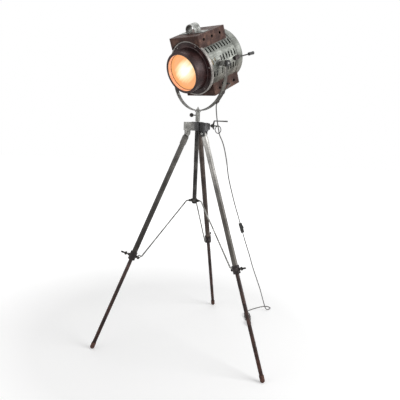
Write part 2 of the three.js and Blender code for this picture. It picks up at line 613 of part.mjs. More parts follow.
function makeBrace(parent, number) {
  const inner = new THREE.Vector3(COLLAR_PIN_REACH, 0, collarMiddle);
  const outer = new THREE.Vector3(-CLAMP_PIN_REACH, 0, -CLAMP_DISTANCE).applyMatrix4(fromLeg);
  const slope = outer.clone().sub(inner).normalize();
  const slotStart = outer.clone().addScaledVector(slope, -BRACE_SLOT_TRAVEL);
  const hook = inner.clone().setX(inner.x + BRACE_HOOK);
  const toe = slotStart.clone().setX(slotStart.x - BRACE_TOE);
  const slot = (radius, thickness) =>
    plate(roundEnded([slotStart.x, slotStart.z], [outer.x, outer.z], radius), thickness);
  const eye = (radius, thickness) =>
    moved(alongY(bore(radius, thickness / 2, MEDIUM)), inner.x, 0, inner.z);
  const thickness = 2 * BRACE_RADIUS;
  const wire = bentRod([inner, hook, toe, slotStart], BRACE_RADIUS);
  const solidBrace = join(
    wire,
    eye(PIN_RADIUS + RUN + BRACE_EYE_WALL, thickness),
    slot(PIN_RADIUS + BRACE_SLOT_PLAY + BRACE_EYE_WALL, thickness),
  );
  const holes = [eye(PIN_RADIUS + RUN, 2 * thickness), slot(PIN_RADIUS + BRACE_SLOT_PLAY, 2 * thickness)];
  add(parent, `brace_${number}`, moved(cut(solidBrace, ...holes), 0, braceSide, 0), FINISH.iron);
}

function makeLegs() {
  LEG_AZIMUTHS.forEach((azimuth, i) => {
    const upright = turnedGroup(stand, azimuth);
    const leg = group(upright, HINGE_RADIUS, 0, HINGE_HEIGHT);
    leg.rotation.y = -legSpread;
    makeHingeBolt(upright, i + 1);
    makeUpperLeg(leg, i + 1);
    makeLegClamp(leg, i + 1);
    makeLowerLeg(leg, i + 1);
    makeBrace(upright, i + 1);
  });
}

// ---- yoke, on its pan socket ----
function makeYoke(pan) {
  const top = tiltHeight + YOKE_END;
  const strap = new THREE.Shape()
    .moveTo(-yokeOutside, top)
    .absarc(0, bendCentre, yokeOutside, PI, 2 * PI, false)
    .lineTo(yokeOutside, top)
    .lineTo(yokeInside, top)
    .absarc(0, bendCentre, yokeInside, 0, -PI, true)
    .lineTo(-yokeInside, top);
  const tiltHoles = moved(alongX(bore(TILT_SCREW_RADIUS + RUN, yokeOutside + BITE)), 0, 0, tiltHeight);
  const boltHole = moved(bore(YOKE_BOLT_RADIUS + GAP, 2 * YOKE_THICKNESS), 0, 0, yokeBase);
  add(pan, "yoke", cut(plate(strap, YOKE_WIDTH, 40), tiltHoles, boltHole), FINISH.steel);
}

function makePanSocket(pan) {
  const radius = STEM_RADIUS + RUN + PAN_TUBE_WALL;
  const bottom = hubTop + PAN_TUBE_LIFT;
  const screwHeight = stemTop - PAN_KNOB_DROP;
  const socket = turned([
    [0, panTop],
    [PAN_FLANGE_RADIUS, panTop],
    [PAN_FLANGE_RADIUS, panTop - PAN_FLANGE_THICKNESS],
    [radius, panTop - PAN_FLANGE_THICKNESS],
    [radius, bottom],
    [0, bottom],
  ]);
  const stemSpace = pin(STEM_RADIUS + RUN, stemTop + GAP - bottom + BITE, MEDIUM);
  const stemHole = moved(stemSpace, 0, 0, bottom - BITE);
  const boltHole = moved(pin(YOKE_BOLT_RADIUS + GAP, 2 * YOKE_BOLT_DEPTH), 0, 0, boltBottom);
  const screwHole = moved(alongX(pin(PAN_SCREW_RADIUS + RUN, PAN_KNOB_REACH)), 0, 0, screwHeight);
  const turnedHole = screwHole.rotateZ(radians(PAN_KNOB_AZIMUTH));
  add(pan, "pan_socket", cut(socket, stemHole, boltHole, turnedHole), FINISH.iron);

  const nutBottom = yokeBase + YOKE_THICKNESS + GAP;
  const shankStart = boltBottom + GAP;
  const shank = moved(pin(YOKE_BOLT_RADIUS, nutBottom - shankStart + BITE), 0, 0, shankStart);
  const nut = moved(pin(YOKE_NUT_RADIUS, YOKE_NUT_HEIGHT, HEXAGON), 0, 0, nutBottom);
  const point = bar(YOKE_BOLT_RADIUS, YOKE_BOLT_RADIUS - EASE, YOKE_BOLT_TIP);
  const tip = moved(point, 0, 0, nutBottom + YOKE_NUT_HEIGHT - BITE);
  add(pan, "yoke_bolt", join(shank, nut, tip), FINISH.steel);

  const knobSide = turnedGroup(pan, PAN_KNOB_AZIMUTH);
  const screwStart = STEM_RADIUS + GAP;
  const screw = moved(alongX(pin(PAN_SCREW_RADIUS, PAN_KNOB_REACH - screwStart)), screwStart, 0, screwHeight);
  const ball = moved(new THREE.SphereGeometry(PAN_KNOB_RADIUS, MEDIUM, 8), PAN_KNOB_REACH, 0, screwHeight);
  add(knobSide, "pan_lock_knob", join(screw, ball), FINISH.iron);
}

// A clip grips the strap's rear edge and holds the cord along the strap's bend.
function makeCordClip(pan, name, degrees) {
  const turn = radians(degrees);
  const [across, down] = [YOKE_RADIUS * cos(turn), YOKE_RADIUS * sin(turn)];
  const place = group(pan, across, YOKE_WIDTH / 2 + GAP, bendCentre - down);
  place.rotation.y = turn;
  const inside = CORD_RADIUS + CORD_PLAY;
  const loop = moved(bore(inside + CLIP_WALL, CLIP_LENGTH / 2, COARSE), 0, inside + CLIP_WALL, 0);
  const bridge = block(YOKE_THICKNESS + 2 * (GAP + CLIP_WALL), CLIP_WALL, CLIP_LENGTH);
  const back = moved(bridge, 0, CLIP_WALL / 2, 0);
  const leafPlace = (YOKE_THICKNESS + CLIP_WALL) / 2 + GAP;
  const leaf = moved(block(CLIP_WALL, CLIP_LEAF, CLIP_LENGTH), 0, CLIP_WALL - CLIP_LEAF / 2, 0);
  const leaves = [moved(leaf, leafPlace, 0, 0), moved(leaf, -leafPlace, 0, 0)];
  const hole = moved(bore(inside, CLIP_LENGTH, COARSE), 0, inside + CLIP_WALL, 0);
  add(place, name, cut(join(loop, back, ...leaves), hole), FINISH.black);
}

// ---- head: X to its right, Y towards its back, Z up through the top box ----
const flangeFront = DRUM_FRONT - GAP - FLANGE_THICKNESS;
const rimBack = DRUM_FRONT - GAP - FLANGE_THICKNESS / 2 - GAP;
const flangeRadius = DRUM_RADIUS - RIM_STEP;
const lipFront = flangeFront - SNOOT_LENGTH;
const lensBack = lipFront + LENS_SETBACK + LENS_EDGE;
const coverBack = DRUM_BACK + GAP + COVER_LENGTH;

// A turned piece about the head's axis, from an outline of [radius, distance back] points.
const alongHead = (outline, sides = FINE) => alongY(turned(outline, sides));
const alongHeadBore = (radius, front, back) => moved(alongY(pin(radius, back - front, FINE)), 0, front, 0);

function slots() {
  const made = [];
  for (const side of [-1, 1]) {
    for (const row of SLOT_ROWS) {
      for (let i = 0; i < SLOT.count; i++) {
        const y = SLOT.first + i * SLOT.pitch;
        const height = DRUM_RADIUS * sin(radians(row));
        const reach = TRUNNION_FLANGE_RADIUS + SLOT.clear;
        if (abs(height) < reach + SLOT.length / 2 && abs(y) < TRUNNION_FLANGE_RADIUS) continue;
        const slot = moved(block(6 * DRUM_WALL, SLOT.width, SLOT.length), DRUM_RADIUS, y, 0);
        made.push(slot.rotateY(side > 0 ? -radians(row) : radians(row) + PI));
      }
    }
  }
  return made;
}

function makeDrum(head) {
  const inside = DRUM_RADIUS - DRUM_WALL;
  const bead = arcPoints(DRUM_RADIUS, DRUM_BACK - BEAD_RADIUS, BEAD_RADIUS, -90, 90, 4);
  const shell = alongHead([[inside, DRUM_FRONT], [DRUM_RADIUS, DRUM_FRONT], ...bead, [inside, DRUM_BACK]]);
  const tiltHoles = alongX(bore(TILT_SCREW_RADIUS + RUN, 2 * DRUM_RADIUS));
  add(head, "drum", cut(shell, tiltHoles, ...slots()), FINISH.steel);

  const outside = DRUM_RADIUS + GAP + RIM_WIDTH;
  const rimFront = rimBack - RIM_FRONT;
  const rim = alongHead([
    [flangeRadius + GAP, rimBack],
    [DRUM_RADIUS + GAP, rimBack],
    [DRUM_RADIUS + GAP, DRUM_FRONT + RIM_SKIRT],
    [outside - EASE, DRUM_FRONT + RIM_SKIRT],
    [outside, DRUM_FRONT + RIM_SKIRT - RIM_CHAMFER],
    [outside, rimFront + RIM_CHAMFER],
    [outside - RIM_CHAMFER, rimFront],
    [flangeRadius + GAP + RIM_INNER_CHAMFER, rimFront],
    [flangeRadius + GAP, rimFront + RIM_INNER_CHAMFER],
  ]);
  add(head, "front_rim", rim, FINISH.steel);
}

function makeRearCover(head) {
  const middle = [DRUM_RADIUS - COVER_EDGE, coverBack - COVER_EDGE];
  const edge = (wall) => arcPoints(...middle, COVER_EDGE - wall, 0, 90, 4);
  const dishFloor = coverBack - DISH_DEPTH;
  const cover = alongHead([
    [DRUM_RADIUS, DRUM_BACK + GAP],
    ...edge(0),
    [DISH_RIM_RADIUS, coverBack],
    [DISH_RADIUS, dishFloor],
    [0, dishFloor],
    [0, dishFloor - DRUM_WALL],
    [DISH_RADIUS + DRUM_WALL / 2, dishFloor - DRUM_WALL],
    [DISH_RIM_RADIUS + DRUM_WALL / 2, coverBack - DRUM_WALL],
    ...edge(DRUM_WALL).reverse(),
    [DRUM_RADIUS - DRUM_WALL, DRUM_BACK + GAP],
  ]);
  add(head, "rear_cover", cover, FINISH.steel);
}

function makeFront(head) {
  const back = DRUM_FRONT - GAP;
  const tip = SNOOT_RADIUS - SNOOT_TAPER;
  const inside = tip - LIP_FACE;
  const lipEnd = lipFront + LIP_LENGTH;
  const seatFront = lensBack + GAP;
  const seatBack = seatFront + LENS_SEAT;
  const bezel = alongHead([
    [SNOOT_RADIUS - SNOOT_WALL, back],
    [DRUM_RADIUS - EASE, back],
    [DRUM_RADIUS - EASE, back - FLANGE_THICKNESS / 2],
    [flangeRadius, back - FLANGE_THICKNESS / 2],
    [flangeRadius, flangeFront + EASE],
    [flangeRadius - EASE, flangeFront],
    [SNOOT_RADIUS + SNOOT_ROOT.radius, flangeFront],
    [SNOOT_RADIUS + SNOOT_ROOT.step, flangeFront - SNOOT_ROOT.foot],
    [SNOOT_RADIUS, flangeFront - SNOOT_ROOT.radius],
    [tip, lipEnd + LIP_WIDTH],
    [tip + LIP_WIDTH, lipEnd],
    [tip + LIP_WIDTH, lipFront + EASE],
    [tip + LIP_WIDTH - EASE, lipFront],
    [inside, lipFront],
    [inside, seatFront],
    [inside - LENS_SEAT, seatFront],
    [inside - LENS_SEAT, seatFront + LENS_SEAT / 2],
    [inside, seatBack],
    [inside + SNOOT_WALL, seatBack],
    [inside + SNOOT_WALL, lipEnd],
    [tip - SNOOT_WALL, lipEnd],
  ]);
  add(head, "bezel", bezel, FINISH.black);

  const radius = inside - GAP;
  const bulge = Array.from({ length: BULGE_STEPS }, (_, i) => {
    const r = (radius * i) / BULGE_STEPS;
    return [r, lensBack - LENS_EDGE - LENS_BULGE * (1 - (r / radius) ** 2)];
  });
  const lens = [...bulge, [radius, lensBack - LENS_EDGE], [radius, lensBack], [0, lensBack]];
  add(head, "lens", alongHead(lens), FINISH.glass);
}

// A vent box with its open side on the drum. The low box is made upright and turned over.
function ventBox({ halfWidth, front, length, height }, holes) {
  const centre = front + length / 2;
  const outline = (inset) => rounded(2 * (halfWidth - inset), length - 2 * inset, BOX_CORNER - inset);
  const outer = moved(prism(outline(0), height, 3), 0, centre, 0);
  const inner = moved(prism(outline(BOX_WALL), height, 3), 0, centre, -BOX_WALL);
  const rimCut = DRUM_RADIUS + 2 * GAP + max(RIM_WIDTH, BEAD_RADIUS);
  const round = [
    alongHeadBore(DRUM_RADIUS + GAP, front - BITE, front + length + BITE),
    alongHeadBore(rimCut, lipFront, DRUM_FRONT + RIM_SKIRT + BITE),
    alongHeadBore(rimCut, DRUM_BACK - 3 * BEAD_RADIUS, DRUM_BACK + BITE),
  ];
  const vent = alongX(bore(HOLE_RADIUS, halfWidth + BITE));
  const vents = holes.places.map((y) => moved(vent, 0, y, holes.height));
  return cut(outer, inner, ...round, ...vents);
}

function makeBoxes(head) {
  add(head, "top_box", ventBox(TOP_BOX, TOP_HOLES), FINISH.bronze);
  const cordSpace = alongX(pin(CORD_RADIUS + CORD_PLAY, LOW_BOX.halfWidth));
  const cordHole = moved(cordSpace, GLAND_HOLE_START, GLAND_BACK, -GLAND_DROP);
  add(head, "bottom_box", cut(ventBox(LOW_BOX, LOW_HOLES).rotateY(PI), cordHole), FINISH.bronze);
}

function makeStrapHandle(head) {
  const outside = HANDLE_HALF_SPAN;
  const inside = outside - HANDLE_THICKNESS;
  const shoulder = HANDLE_RISE - outside;
  const foot = outside + HANDLE_FOOT;
  const strap = new THREE.Shape()
    .moveTo(foot, 0)
    .lineTo(foot, HANDLE_THICKNESS)
    .lineTo(outside, HANDLE_THICKNESS)
    .absarc(0, shoulder, outside, 0, PI, false)
    .lineTo(-outside, HANDLE_THICKNESS)
    .lineTo(-foot, HANDLE_THICKNESS)
    .lineTo(-foot, 0)
    .lineTo(-inside, 0)
    .absarc(0, shoulder, inside, PI, 0, true)
    .lineTo(inside, 0);
  const handle = moved(plate(strap, HANDLE_WIDTH, 10), 0, HANDLE_SETBACK, TOP_BOX.height + GAP);
  add(head, "strap_handle", handle, FINISH.steel);
}

// The rod slopes about the middle of its bracket.
function makeAimRod(head) {
  const rodX = DRUM_RADIUS + ROD_OFFSET;
  const middle = BRACKET_START + BRACKET_LENGTH / 2;
  const outside = rodX + ROD_RADIUS + GAP + BRACKET_WALL;
  const slope = radians(ROD_SLOPE);
  const stock = moved(block(outside, BRACKET_LENGTH, BRACKET_HEIGHT), outside / 2, 0, 0);
  const hole = moved(alongY(bore(ROD_RADIUS + GAP, ROD_LENGTH)), rodX, 0, 0).rotateX(-slope);
  const bracket = moved(cut(stock, hole), 0, middle, -ROD_DROP);
  const round = alongHeadBore(DRUM_RADIUS + GAP, BRACKET_START - BITE, BRACKET_START + BRACKET_LENGTH + BITE);
  add(head, "aim_bracket", cut(bracket, round), FINISH.black);

  const aim = group(head, rodX, middle, -ROD_DROP);
  aim.rotation.x = -slope;
  const start = ROD_START - middle;
  add(aim, "aim_rod", moved(alongY(pin(ROD_RADIUS, ROD_LENGTH)), 0, start, 0), FINISH.iron);

  const gripDepth = GRIP_LENGTH - GRIP_CAP;
  const grip = turned([
    [0, 0],
    [GRIP_RADIUS - GRIP_END.front, 0],
    [GRIP_RADIUS, GRIP_END.length],
    [GRIP_RADIUS - GRIP_WAIST, GRIP_LENGTH / 2],
    [GRIP_RADIUS, GRIP_LENGTH - GRIP_END.length],
    [GRIP_RADIUS - GRIP_END.back, GRIP_LENGTH],
    [0, GRIP_LENGTH],
  ]);
  const fitted = cut(grip, bore(ROD_RADIUS + GAP, gripDepth));
  const gripStart = start + ROD_LENGTH + GAP - gripDepth;
  add(aim, "aim_grip", moved(alongY(fitted), 0, gripStart, 0), FINISH.plastic);
}

function makeTrunnion(head, side, name) {
  const tube = pin(TRUNNION_RADIUS, yokeInside - GAP, MEDIUM);
  const flange = pin(TRUNNION_FLANGE_RADIUS, DRUM_RADIUS + TRUNNION_FLANGE_RISE, MEDIUM);
  const clear = 2 * TRUNNION_FLANGE_RADIUS;
  const round = alongHeadBore(DRUM_RADIUS + GAP, -clear, clear);
  const hole = alongX(bore(TILT_SCREW_RADIUS + RUN, 2 * DRUM_RADIUS));
  const boss = cut(alongX(join(tube, flange)), round, hole);
  add(head, `trunnion_${name}`, side > 0 ? boss : boss.rotateZ(PI), FINISH.iron);

  const start = DRUM_RADIUS - TILT_SCREW_DEPTH;
  const knobStart = yokeOutside + GAP;
  const screw = moved(alongX(pin(TILT_SCREW_RADIUS, knobStart - start + BITE)), start, 0, 0);
  const dial = turned([
    [0, 0],
    [TILT_KNOB_HUB_RADIUS, 0],
    [TILT_KNOB_RADIUS, TILT_KNOB_SHOULDER],
    [TILT_KNOB_RADIUS, TILT_KNOB_THICKNESS - TILT_KNOB_CHAMFER],
    [TILT_KNOB_RADIUS - TILT_KNOB_CHAMFER, TILT_KNOB_THICKNESS],
    [0, TILT_KNOB_THICKNESS],
  ], MEDIUM);
  const knob = join(screw, moved(alongX(dial), knobStart, 0, 0));
  add(head, `tilt_knob_${name}`, side > 0 ? knob : knob.rotateZ(PI), FINISH.plastic);
}

// ---- lamp holder, bulb and reflector ----
function makeLightSource(head) {
  const stayBack = coverBack - DISH_DEPTH - DRUM_WALL - GAP;
  const stay = moved(block(STAY_WIDTH, STAY_THICKNESS, STAY_LENGTH), 0, stayBack - STAY_THICKNESS / 2, 0);
  add(head, "holder_bracket", stay, FINISH.steel);

  const holderBack = stayBack - STAY_THICKNESS - GAP;
  const holderFront = holderBack - HOLDER_LENGTH;
  const bulbBack = holderFront + BULB_SEAT;
  const holder = alongHead([
    [0, bulbBack + GAP],
    [BULB_NECK_RADIUS + GAP, bulbBack + GAP],
    [BULB_NECK_RADIUS + GAP, holderFront],
    [HOLDER_RADIUS, holderFront],
    [HOLDER_RADIUS, holderBack],
    [0, holderBack],
  ], MEDIUM);
  add(head, "lamp_holder", holder, FINISH.ceramic);

  const globe = arcPoints(0, bulbBack - BULB_LENGTH + BULB_RADIUS, BULB_RADIUS, -90, 40, 8);
  globe[0][0] = 0;
  const neckStart = bulbBack - BULB_NECK_LENGTH;
  const bulb = [...globe, [BULB_NECK_RADIUS, neckStart], [BULB_NECK_RADIUS, bulbBack], [0, bulbBack]];
  add(head, "bulb", alongHead(bulb, MEDIUM), FINISH.glass);

  const neckRadius = HOLDER_RADIUS + GAP;
  const neckFront = holderFront - GAP;
  const bowl = (offset) =>
    REFLECTOR_CURVE.shares.map((share) => {
      const r = neckRadius + (REFLECTOR_RADIUS - neckRadius) * share;
      return [r, neckFront + offset - REFLECTOR_DEPTH * share ** REFLECTOR_CURVE.power];
    });
  const neckBack = holderFront + REFLECTOR_GRIP;
  const outside = neckRadius + REFLECTOR_WALL;
  const outline = [
    ...bowl(0),
    ...bowl(REFLECTOR_WALL).slice(1).reverse(),
    [outside, neckFront + REFLECTOR_WALL],
    [outside, neckBack],
    [neckRadius, neckBack],
  ];
  add(head, "reflector", alongHead(outline, MEDIUM), FINISH.mirror);
}

// ---- cord: its gland on the low box, its route, its hank and plug ----
function makeGland(head) {
  const inside = CORD_RADIUS + CORD_PLAY;
  const nut = pin(GLAND_NUT_RADIUS, GLAND_NUT_THICKNESS, HEXAGON);
  const taper = bar(RELIEF_ROOT_RADIUS, RELIEF_TIP_RADIUS, RELIEF_LENGTH);
  const relief = moved(taper, 0, 0, GLAND_NUT_THICKNESS - BITE);
  const gland = alongX(cut(join(nut, relief), bore(inside, RELIEF_LENGTH + GLAND_NUT_THICKNESS)));
  add(head, "gland", moved(gland, LOW_BOX.halfWidth + GAP, GLAND_BACK, -GLAND_DROP), FINISH.plastic);
}

const curveThrough = (points) =>
  new THREE.CatmullRomCurve3(points.map((point) => new THREE.Vector3(...point)), false, "centripetal");

// The cord's first stretch, in the yoke's frame: from the gland round to the upper clip.
const HEAD_ROUTE = [
  [115.6, 67.1, 1279.5],
  [121, 66.7, 1279.4],
  [129, 63.6, 1278.4],
  [137, 57, 1275.8],
  [143, 47, 1271.3],
  [146, 34, 1264],
  [145.8, 23, 1254],
  [143.4, 16.5, 1247],
  [140.98, 15, 1242.85],
  [137.81, 15, 1236.89],
];

// Its second stretch, in the column's frame: down the strap, through the guide ring, through the switch
// and to the floor, where it turns back to its hank.
const MAIN_ROUTE = [
  [110.92, -82.92, 1236.63],
  [108.6, -80.76, 1230.67],
  [104.82, -77.23, 1222.77],
  [96.98, -69.93, 1208.69],
  [91.73, -65.03, 1200.62],
  [88.04, -61.59, 1195.91],
  [84.35, -58.15, 1191.2],
  [82.1, -51.26, 1181],
  [82.46, -41.34, 1166.5],
  [85.18, -28.16, 1146],
  [89.24, -12.8, 1121],
  [94.5, 2, 1095],
  [101, 20.5, 1069],
  [107, 31, 1045],
  [123, 41, 1012],
  [134, 49, 980],
  [149, 65, 919],
  [164, 90, 839],
  [190, 120, 747],
  [211, 142, 681],
  [229, 161, 630],
  [241.9, 173, 591.8],
  [247.4, 178.9, 575.7],
  [254, 186, 556],
  [260.6, 193.1, 536.3],
  [266.1, 199, 520.2],
  [288, 222, 458],
  [318, 253, 376],
  [340, 278, 311],
  [377, 314, 216],
  [400, 338, 156],
  [421, 362, 94],
  [436, 379, 50],
  [450, 394, 16],
  [463, 405, 3.6],
  [479, 421, 2.8],
  [483, 438, 2.8],
  [470, 453, 2.8],
  [445, 452, 2.8],
  [400, 426, 2.8],
  [359, 395, 2.8],
  [338, 371, 2.8],
  [331, 348.6, 2.8],
];

function makeCord(pan) {
  addCord(pan, "cord_head", HEAD_ROUTE, 12);
  addCord(stand, "cord_main", MAIN_ROUTE, 80);
  const half = HANK.width / 2;
  const run = HANK.length / 2 - half;
  const hank = prism(roundEnded([0, -run], [0, run], half), HANK.height, 8);
  add(stand, "cord_hank", moved(hank, HANK.x, HANK.back - HANK.length / 2, GAP), FINISH.cord);
}

function addCord(parent, name, points, steps) {
  add(parent, name, swept(curveThrough(points), CORD_RADIUS, CORD_SIDES, steps), FINISH.cord);
}

function makeSwitch() {
  const place = group(stand, ...SWITCH_AT.place);
  const direction = new THREE.Vector3(...SWITCH_AT.direction).normalize();
  place.quaternion.setFromUnitVectors(new THREE.Vector3(0, 0, 1), direction);
  const quarter = SWITCH.outline;
  const right = [...[...quarter].reverse().map(([x, z]) => [x, -z]), ...quarter];
  const outline = [...right, ...right.map(([x, z]) => [-x, -z])];
  const shape = new THREE.Shape(outline.map(([x, z]) => new THREE.Vector2(x, z)));
  const shell = plate(shape, SWITCH.height);
  const face = -SWITCH.height / 2;
  const slide = SLIDER.length + SLIDER.travel + 2 * RUN;
  const recess = moved(block(SLIDER.width + 2 * RUN, 2 * SLIDER.recess, slide), 0, face, 0);
  const passage = bore(CORD_RADIUS + CORD_PLAY, SWITCH.length);
  add(place, "switch_body", cut(shell, recess, passage), FINISH.plastic);
  const thickness = SLIDER.recess - GAP + SLIDER.height;
  const slider = block(SLIDER.width, thickness, SLIDER.length);
  const seat = face + SLIDER.recess - GAP - thickness / 2;
  add(place, "switch_slider", moved(slider, 0, seat, -SLIDER.travel / 2), FINISH.plastic);
}

function makePlug() {
  const { length, width, height, corner, relief } = PLUG;
  const body = moved(prism(rounded(width, height, corner), length), 0, 0, relief);
  const sleeveEnd = bar(RELIEF_TIP_RADIUS, RELIEF_ROOT_RADIUS, relief + BITE);
  const blade = block(BLADE.thickness, BLADE.width, BLADE.length + BITE);
  const reach = relief + length + (BLADE.length - BITE) / 2;
  const blades = [-1, 1].map((side) => moved(blade, (side * BLADE.spacing) / 2, 0, reach));
  const plug = alongY(join(body, sleeveEnd, ...blades)).rotateZ(PI);
  add(stand, "plug", moved(plug, HANK.x, HANK.back - HANK.length - GAP, height / 2 + GAP), FINISH.plastic);
}

// ---- the whole lamp ----
makeHub();
makeColumn();
makeHubClamp();
makeCollar();
makeLegs();

const pan = turnedGroup(stand, HEAD_YAW);
makeYoke(pan);
makePanSocket(pan);
makeCordClip(pan, "cord_clip_upper", CLIP_ANGLES.upper);
makeCordClip(pan, "cord_clip_lower", CLIP_ANGLES.lower);

const head = group(pan, 0, 0, tiltHeight);
head.rotation.x = radians(HEAD_TILT);
makeDrum(head);
makeRearCover(head);
makeFront(head);
makeBoxes(head);
makeStrapHandle(head);
makeAimRod(head);
makeTrunnion(head, 1, "right");
makeTrunnion(head, -1, "left");
makeLightSource(head);
makeGland(head);

makeCord(pan);
makeSwitch();
makePlug();

export default lamp;
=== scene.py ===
"""The looks of a tripod floor lamp: a studio spotlight on a folding, telescoping stand.

Each sub-assembly is modelled in its own axes, in millimetres, and its meshes are placed in the scene in metres.
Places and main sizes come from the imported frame, so a piece sits where its solid is.
"""

import json
import logging
import math
from dataclasses import dataclass
from enum import Enum
from functools import cached_property
from typing import Any, Callable, Iterable, Optional, Sequence, Union

import bmesh
import bpy
from mathutils import Matrix, Vector

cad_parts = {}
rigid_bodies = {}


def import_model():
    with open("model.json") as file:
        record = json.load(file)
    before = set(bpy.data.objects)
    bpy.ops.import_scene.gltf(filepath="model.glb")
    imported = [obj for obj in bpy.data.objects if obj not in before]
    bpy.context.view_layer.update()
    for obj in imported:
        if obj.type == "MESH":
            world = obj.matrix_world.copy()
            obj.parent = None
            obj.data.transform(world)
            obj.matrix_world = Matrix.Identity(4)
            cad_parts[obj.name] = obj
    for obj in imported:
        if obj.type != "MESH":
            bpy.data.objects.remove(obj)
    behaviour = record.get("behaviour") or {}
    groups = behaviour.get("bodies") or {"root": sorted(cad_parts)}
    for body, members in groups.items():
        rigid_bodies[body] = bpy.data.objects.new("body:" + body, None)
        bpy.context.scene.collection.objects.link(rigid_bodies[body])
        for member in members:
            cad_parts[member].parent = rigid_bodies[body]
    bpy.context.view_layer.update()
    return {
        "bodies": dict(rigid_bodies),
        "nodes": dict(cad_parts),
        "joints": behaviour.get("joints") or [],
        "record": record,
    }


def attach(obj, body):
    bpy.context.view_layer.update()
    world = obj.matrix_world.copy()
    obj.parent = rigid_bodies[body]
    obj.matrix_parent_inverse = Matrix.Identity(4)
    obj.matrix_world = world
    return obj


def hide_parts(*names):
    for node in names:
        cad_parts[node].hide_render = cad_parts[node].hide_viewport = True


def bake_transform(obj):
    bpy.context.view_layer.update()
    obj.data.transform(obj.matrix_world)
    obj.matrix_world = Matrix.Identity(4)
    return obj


LOG = logging.getLogger("floor_lamp")
MM = 0.001
LOCAL = "local_mm"  # the attribute that holds each vertex's place in its sub-assembly's own axes
UP = Vector((0, 0, 1))
ALONG_X = Matrix.Rotation(math.pi / 2, 4, "Y")
ALONG_Y = Matrix.Rotation(-math.pi / 2, 4, "X")
TO_FRONT = Matrix.Rotation(math.pi / 2, 4, "X")
TURNED_OVER = Matrix.Rotation(math.pi, 4, "Y")
TURNED_ROUND = Matrix.Rotation(math.pi, 4, "Z")
WHITE = (1.0, 1.0, 1.0, 1.0)

Outline = list[tuple[float, float]]
Object = bpy.types.Object
Socket = bpy.types.NodeSocket
Links = dict[Union[str, int], Any]


# ---- outlines ----
def arc(x: float, y: float, radius: float, start: float, end: float, steps: int) -> Outline:
    """Points of an arc round (x, y), from start to end in degrees."""
    turns = [math.radians(start + (end - start) * i / steps) for i in range(steps + 1)]
    return [(x + radius * math.cos(turn), y + radius * math.sin(turn)) for turn in turns]


def eased(outline: Outline, radius: float, steps: int = 3) -> Outline:
    """Rounds the corners of a closed outline, apart from those on the axis and those that hardly turn.

    Args:
        outline: the corners, in order.
        radius: the rounding, which a short side limits.
        steps: straight pieces in each rounded corner.

    Returns:
        The rounded outline.
    """
    nearly_straight = math.radians(165)
    made: Outline = []
    for i, corner in enumerate(outline):
        here, before = Vector(corner), Vector(outline[i - 1])
        after = Vector(outline[(i + 1) % len(outline)])
        back, ahead = before - here, after - here
        angle = back.angle(ahead, math.pi)
        if here.x == 0 or angle > nearly_straight:
            made.append(corner)
            continue
        reach = min(radius / math.tan(angle / 2), 0.45 * back.length, 0.45 * ahead.length)
        start, end = here + back.normalized() * reach, here + ahead.normalized() * reach
        for k in range(steps + 1):
            share = k / steps
            made.append(tuple(start.lerp(here, share).lerp(here.lerp(end, share), share)))
    return made


def rounded_rectangle(width: float, height: float, corner: float, steps: int = 6) -> Outline:
    """A rectangle with round corners, about the origin.

    Args:
        width: its size along X.
        height: its size along Y.
        corner: the radius of its corners.
        steps: straight pieces in each corner.

    Returns:
        The outline.
    """
    x, y = width / 2 - corner, height / 2 - corner
    corners = [(x, -y, -90), (x, y, 0), (-x, y, 90), (-x, -y, 180)]
    return [point for cx, cy, start in corners for point in arc(cx, cy, corner, start, start + 90, steps)]


# ---- stock: loose meshes that are cut, joined and finished ----
def stock(mesh: bmesh.types.BMesh) -> Object:
    """Makes an object of a closed bmesh, with its faces outwards.

    Args:
        mesh: the bmesh, which is freed.

    Returns:
        The object, in the scene.
    """
    bmesh.ops.recalc_face_normals(mesh, faces=mesh.faces)
    made = bpy.data.objects.new("stock", bpy.data.meshes.new("stock"))
    mesh.to_mesh(made.data)
    mesh.free()
    bpy.context.scene.collection.objects.link(made)
    return made


def skin(mesh: bmesh.types.BMesh, rings: list[list[bmesh.types.BMVert]], closed: bool) -> None:
    """Fills between rings of vertices. A ring of one vertex is a pole.

    Args:
        mesh: the bmesh that holds the vertices.
        rings: the rings, in order.
        closed: True where the last ring meets the first.
    """
    pairs = list(zip(rings, rings[1:])) + ([(rings[-1], rings[0])] if closed else [])
    for low, high in pairs:
        sides = max(len(low), len(high))
        for i in range(sides):
            j = (i + 1) % sides
            corners = [low[i % len(low)], low[j % len(low)], high[j % len(high)], high[i % len(high)]]
            unique = list(dict.fromkeys(corners))
            if len(unique) > 2:
                mesh.faces.new(unique)


def turned(outline: Outline, sides: int = 48) -> Object:
    """A turned piece about Z.

    Args:
        outline: [radius, height] points that start and end on the axis, or go round.
        sides: flats round it.

    Returns:
        The piece.
    """
    mesh = bmesh.new()
    rings = []
    for radius, height in outline:
        turns = [2 * math.pi * i / sides for i in range(sides if radius > 0 else 1)]
        rings.append([mesh.verts.new((radius * math.cos(t), radius * math.sin(t), height)) for t in turns])
    skin(mesh, rings, closed=outline[0][0] > 0)
    return stock(mesh)


def pin(radius: float, start: float, end: float, ease: float = 0.0, sides: int = 32) -> Object:
    """A round bar about Z from start to end, with eased edges."""
    corners = [(0.0, start), (radius, start), (radius, end), (0.0, end)]
    return turned(eased(corners, ease) if ease else corners, sides)


def extruded(outline: Outline, start: float, end: float) -> Object:
    """A prism along Z whose outline lies in X and Y.

    Args:
        outline: its corners, in order.
        start: the height of its one end.
        end: the height of its other end.

    Returns:
        The prism.
    """
    mesh = bmesh.new()
    rings = [[mesh.verts.new((x, y, height)) for x, y in outline] for height in (start, end)]
    skin(mesh, rings, closed=False)
    for ring in rings:
        mesh.faces.new(ring)
    return stock(mesh)


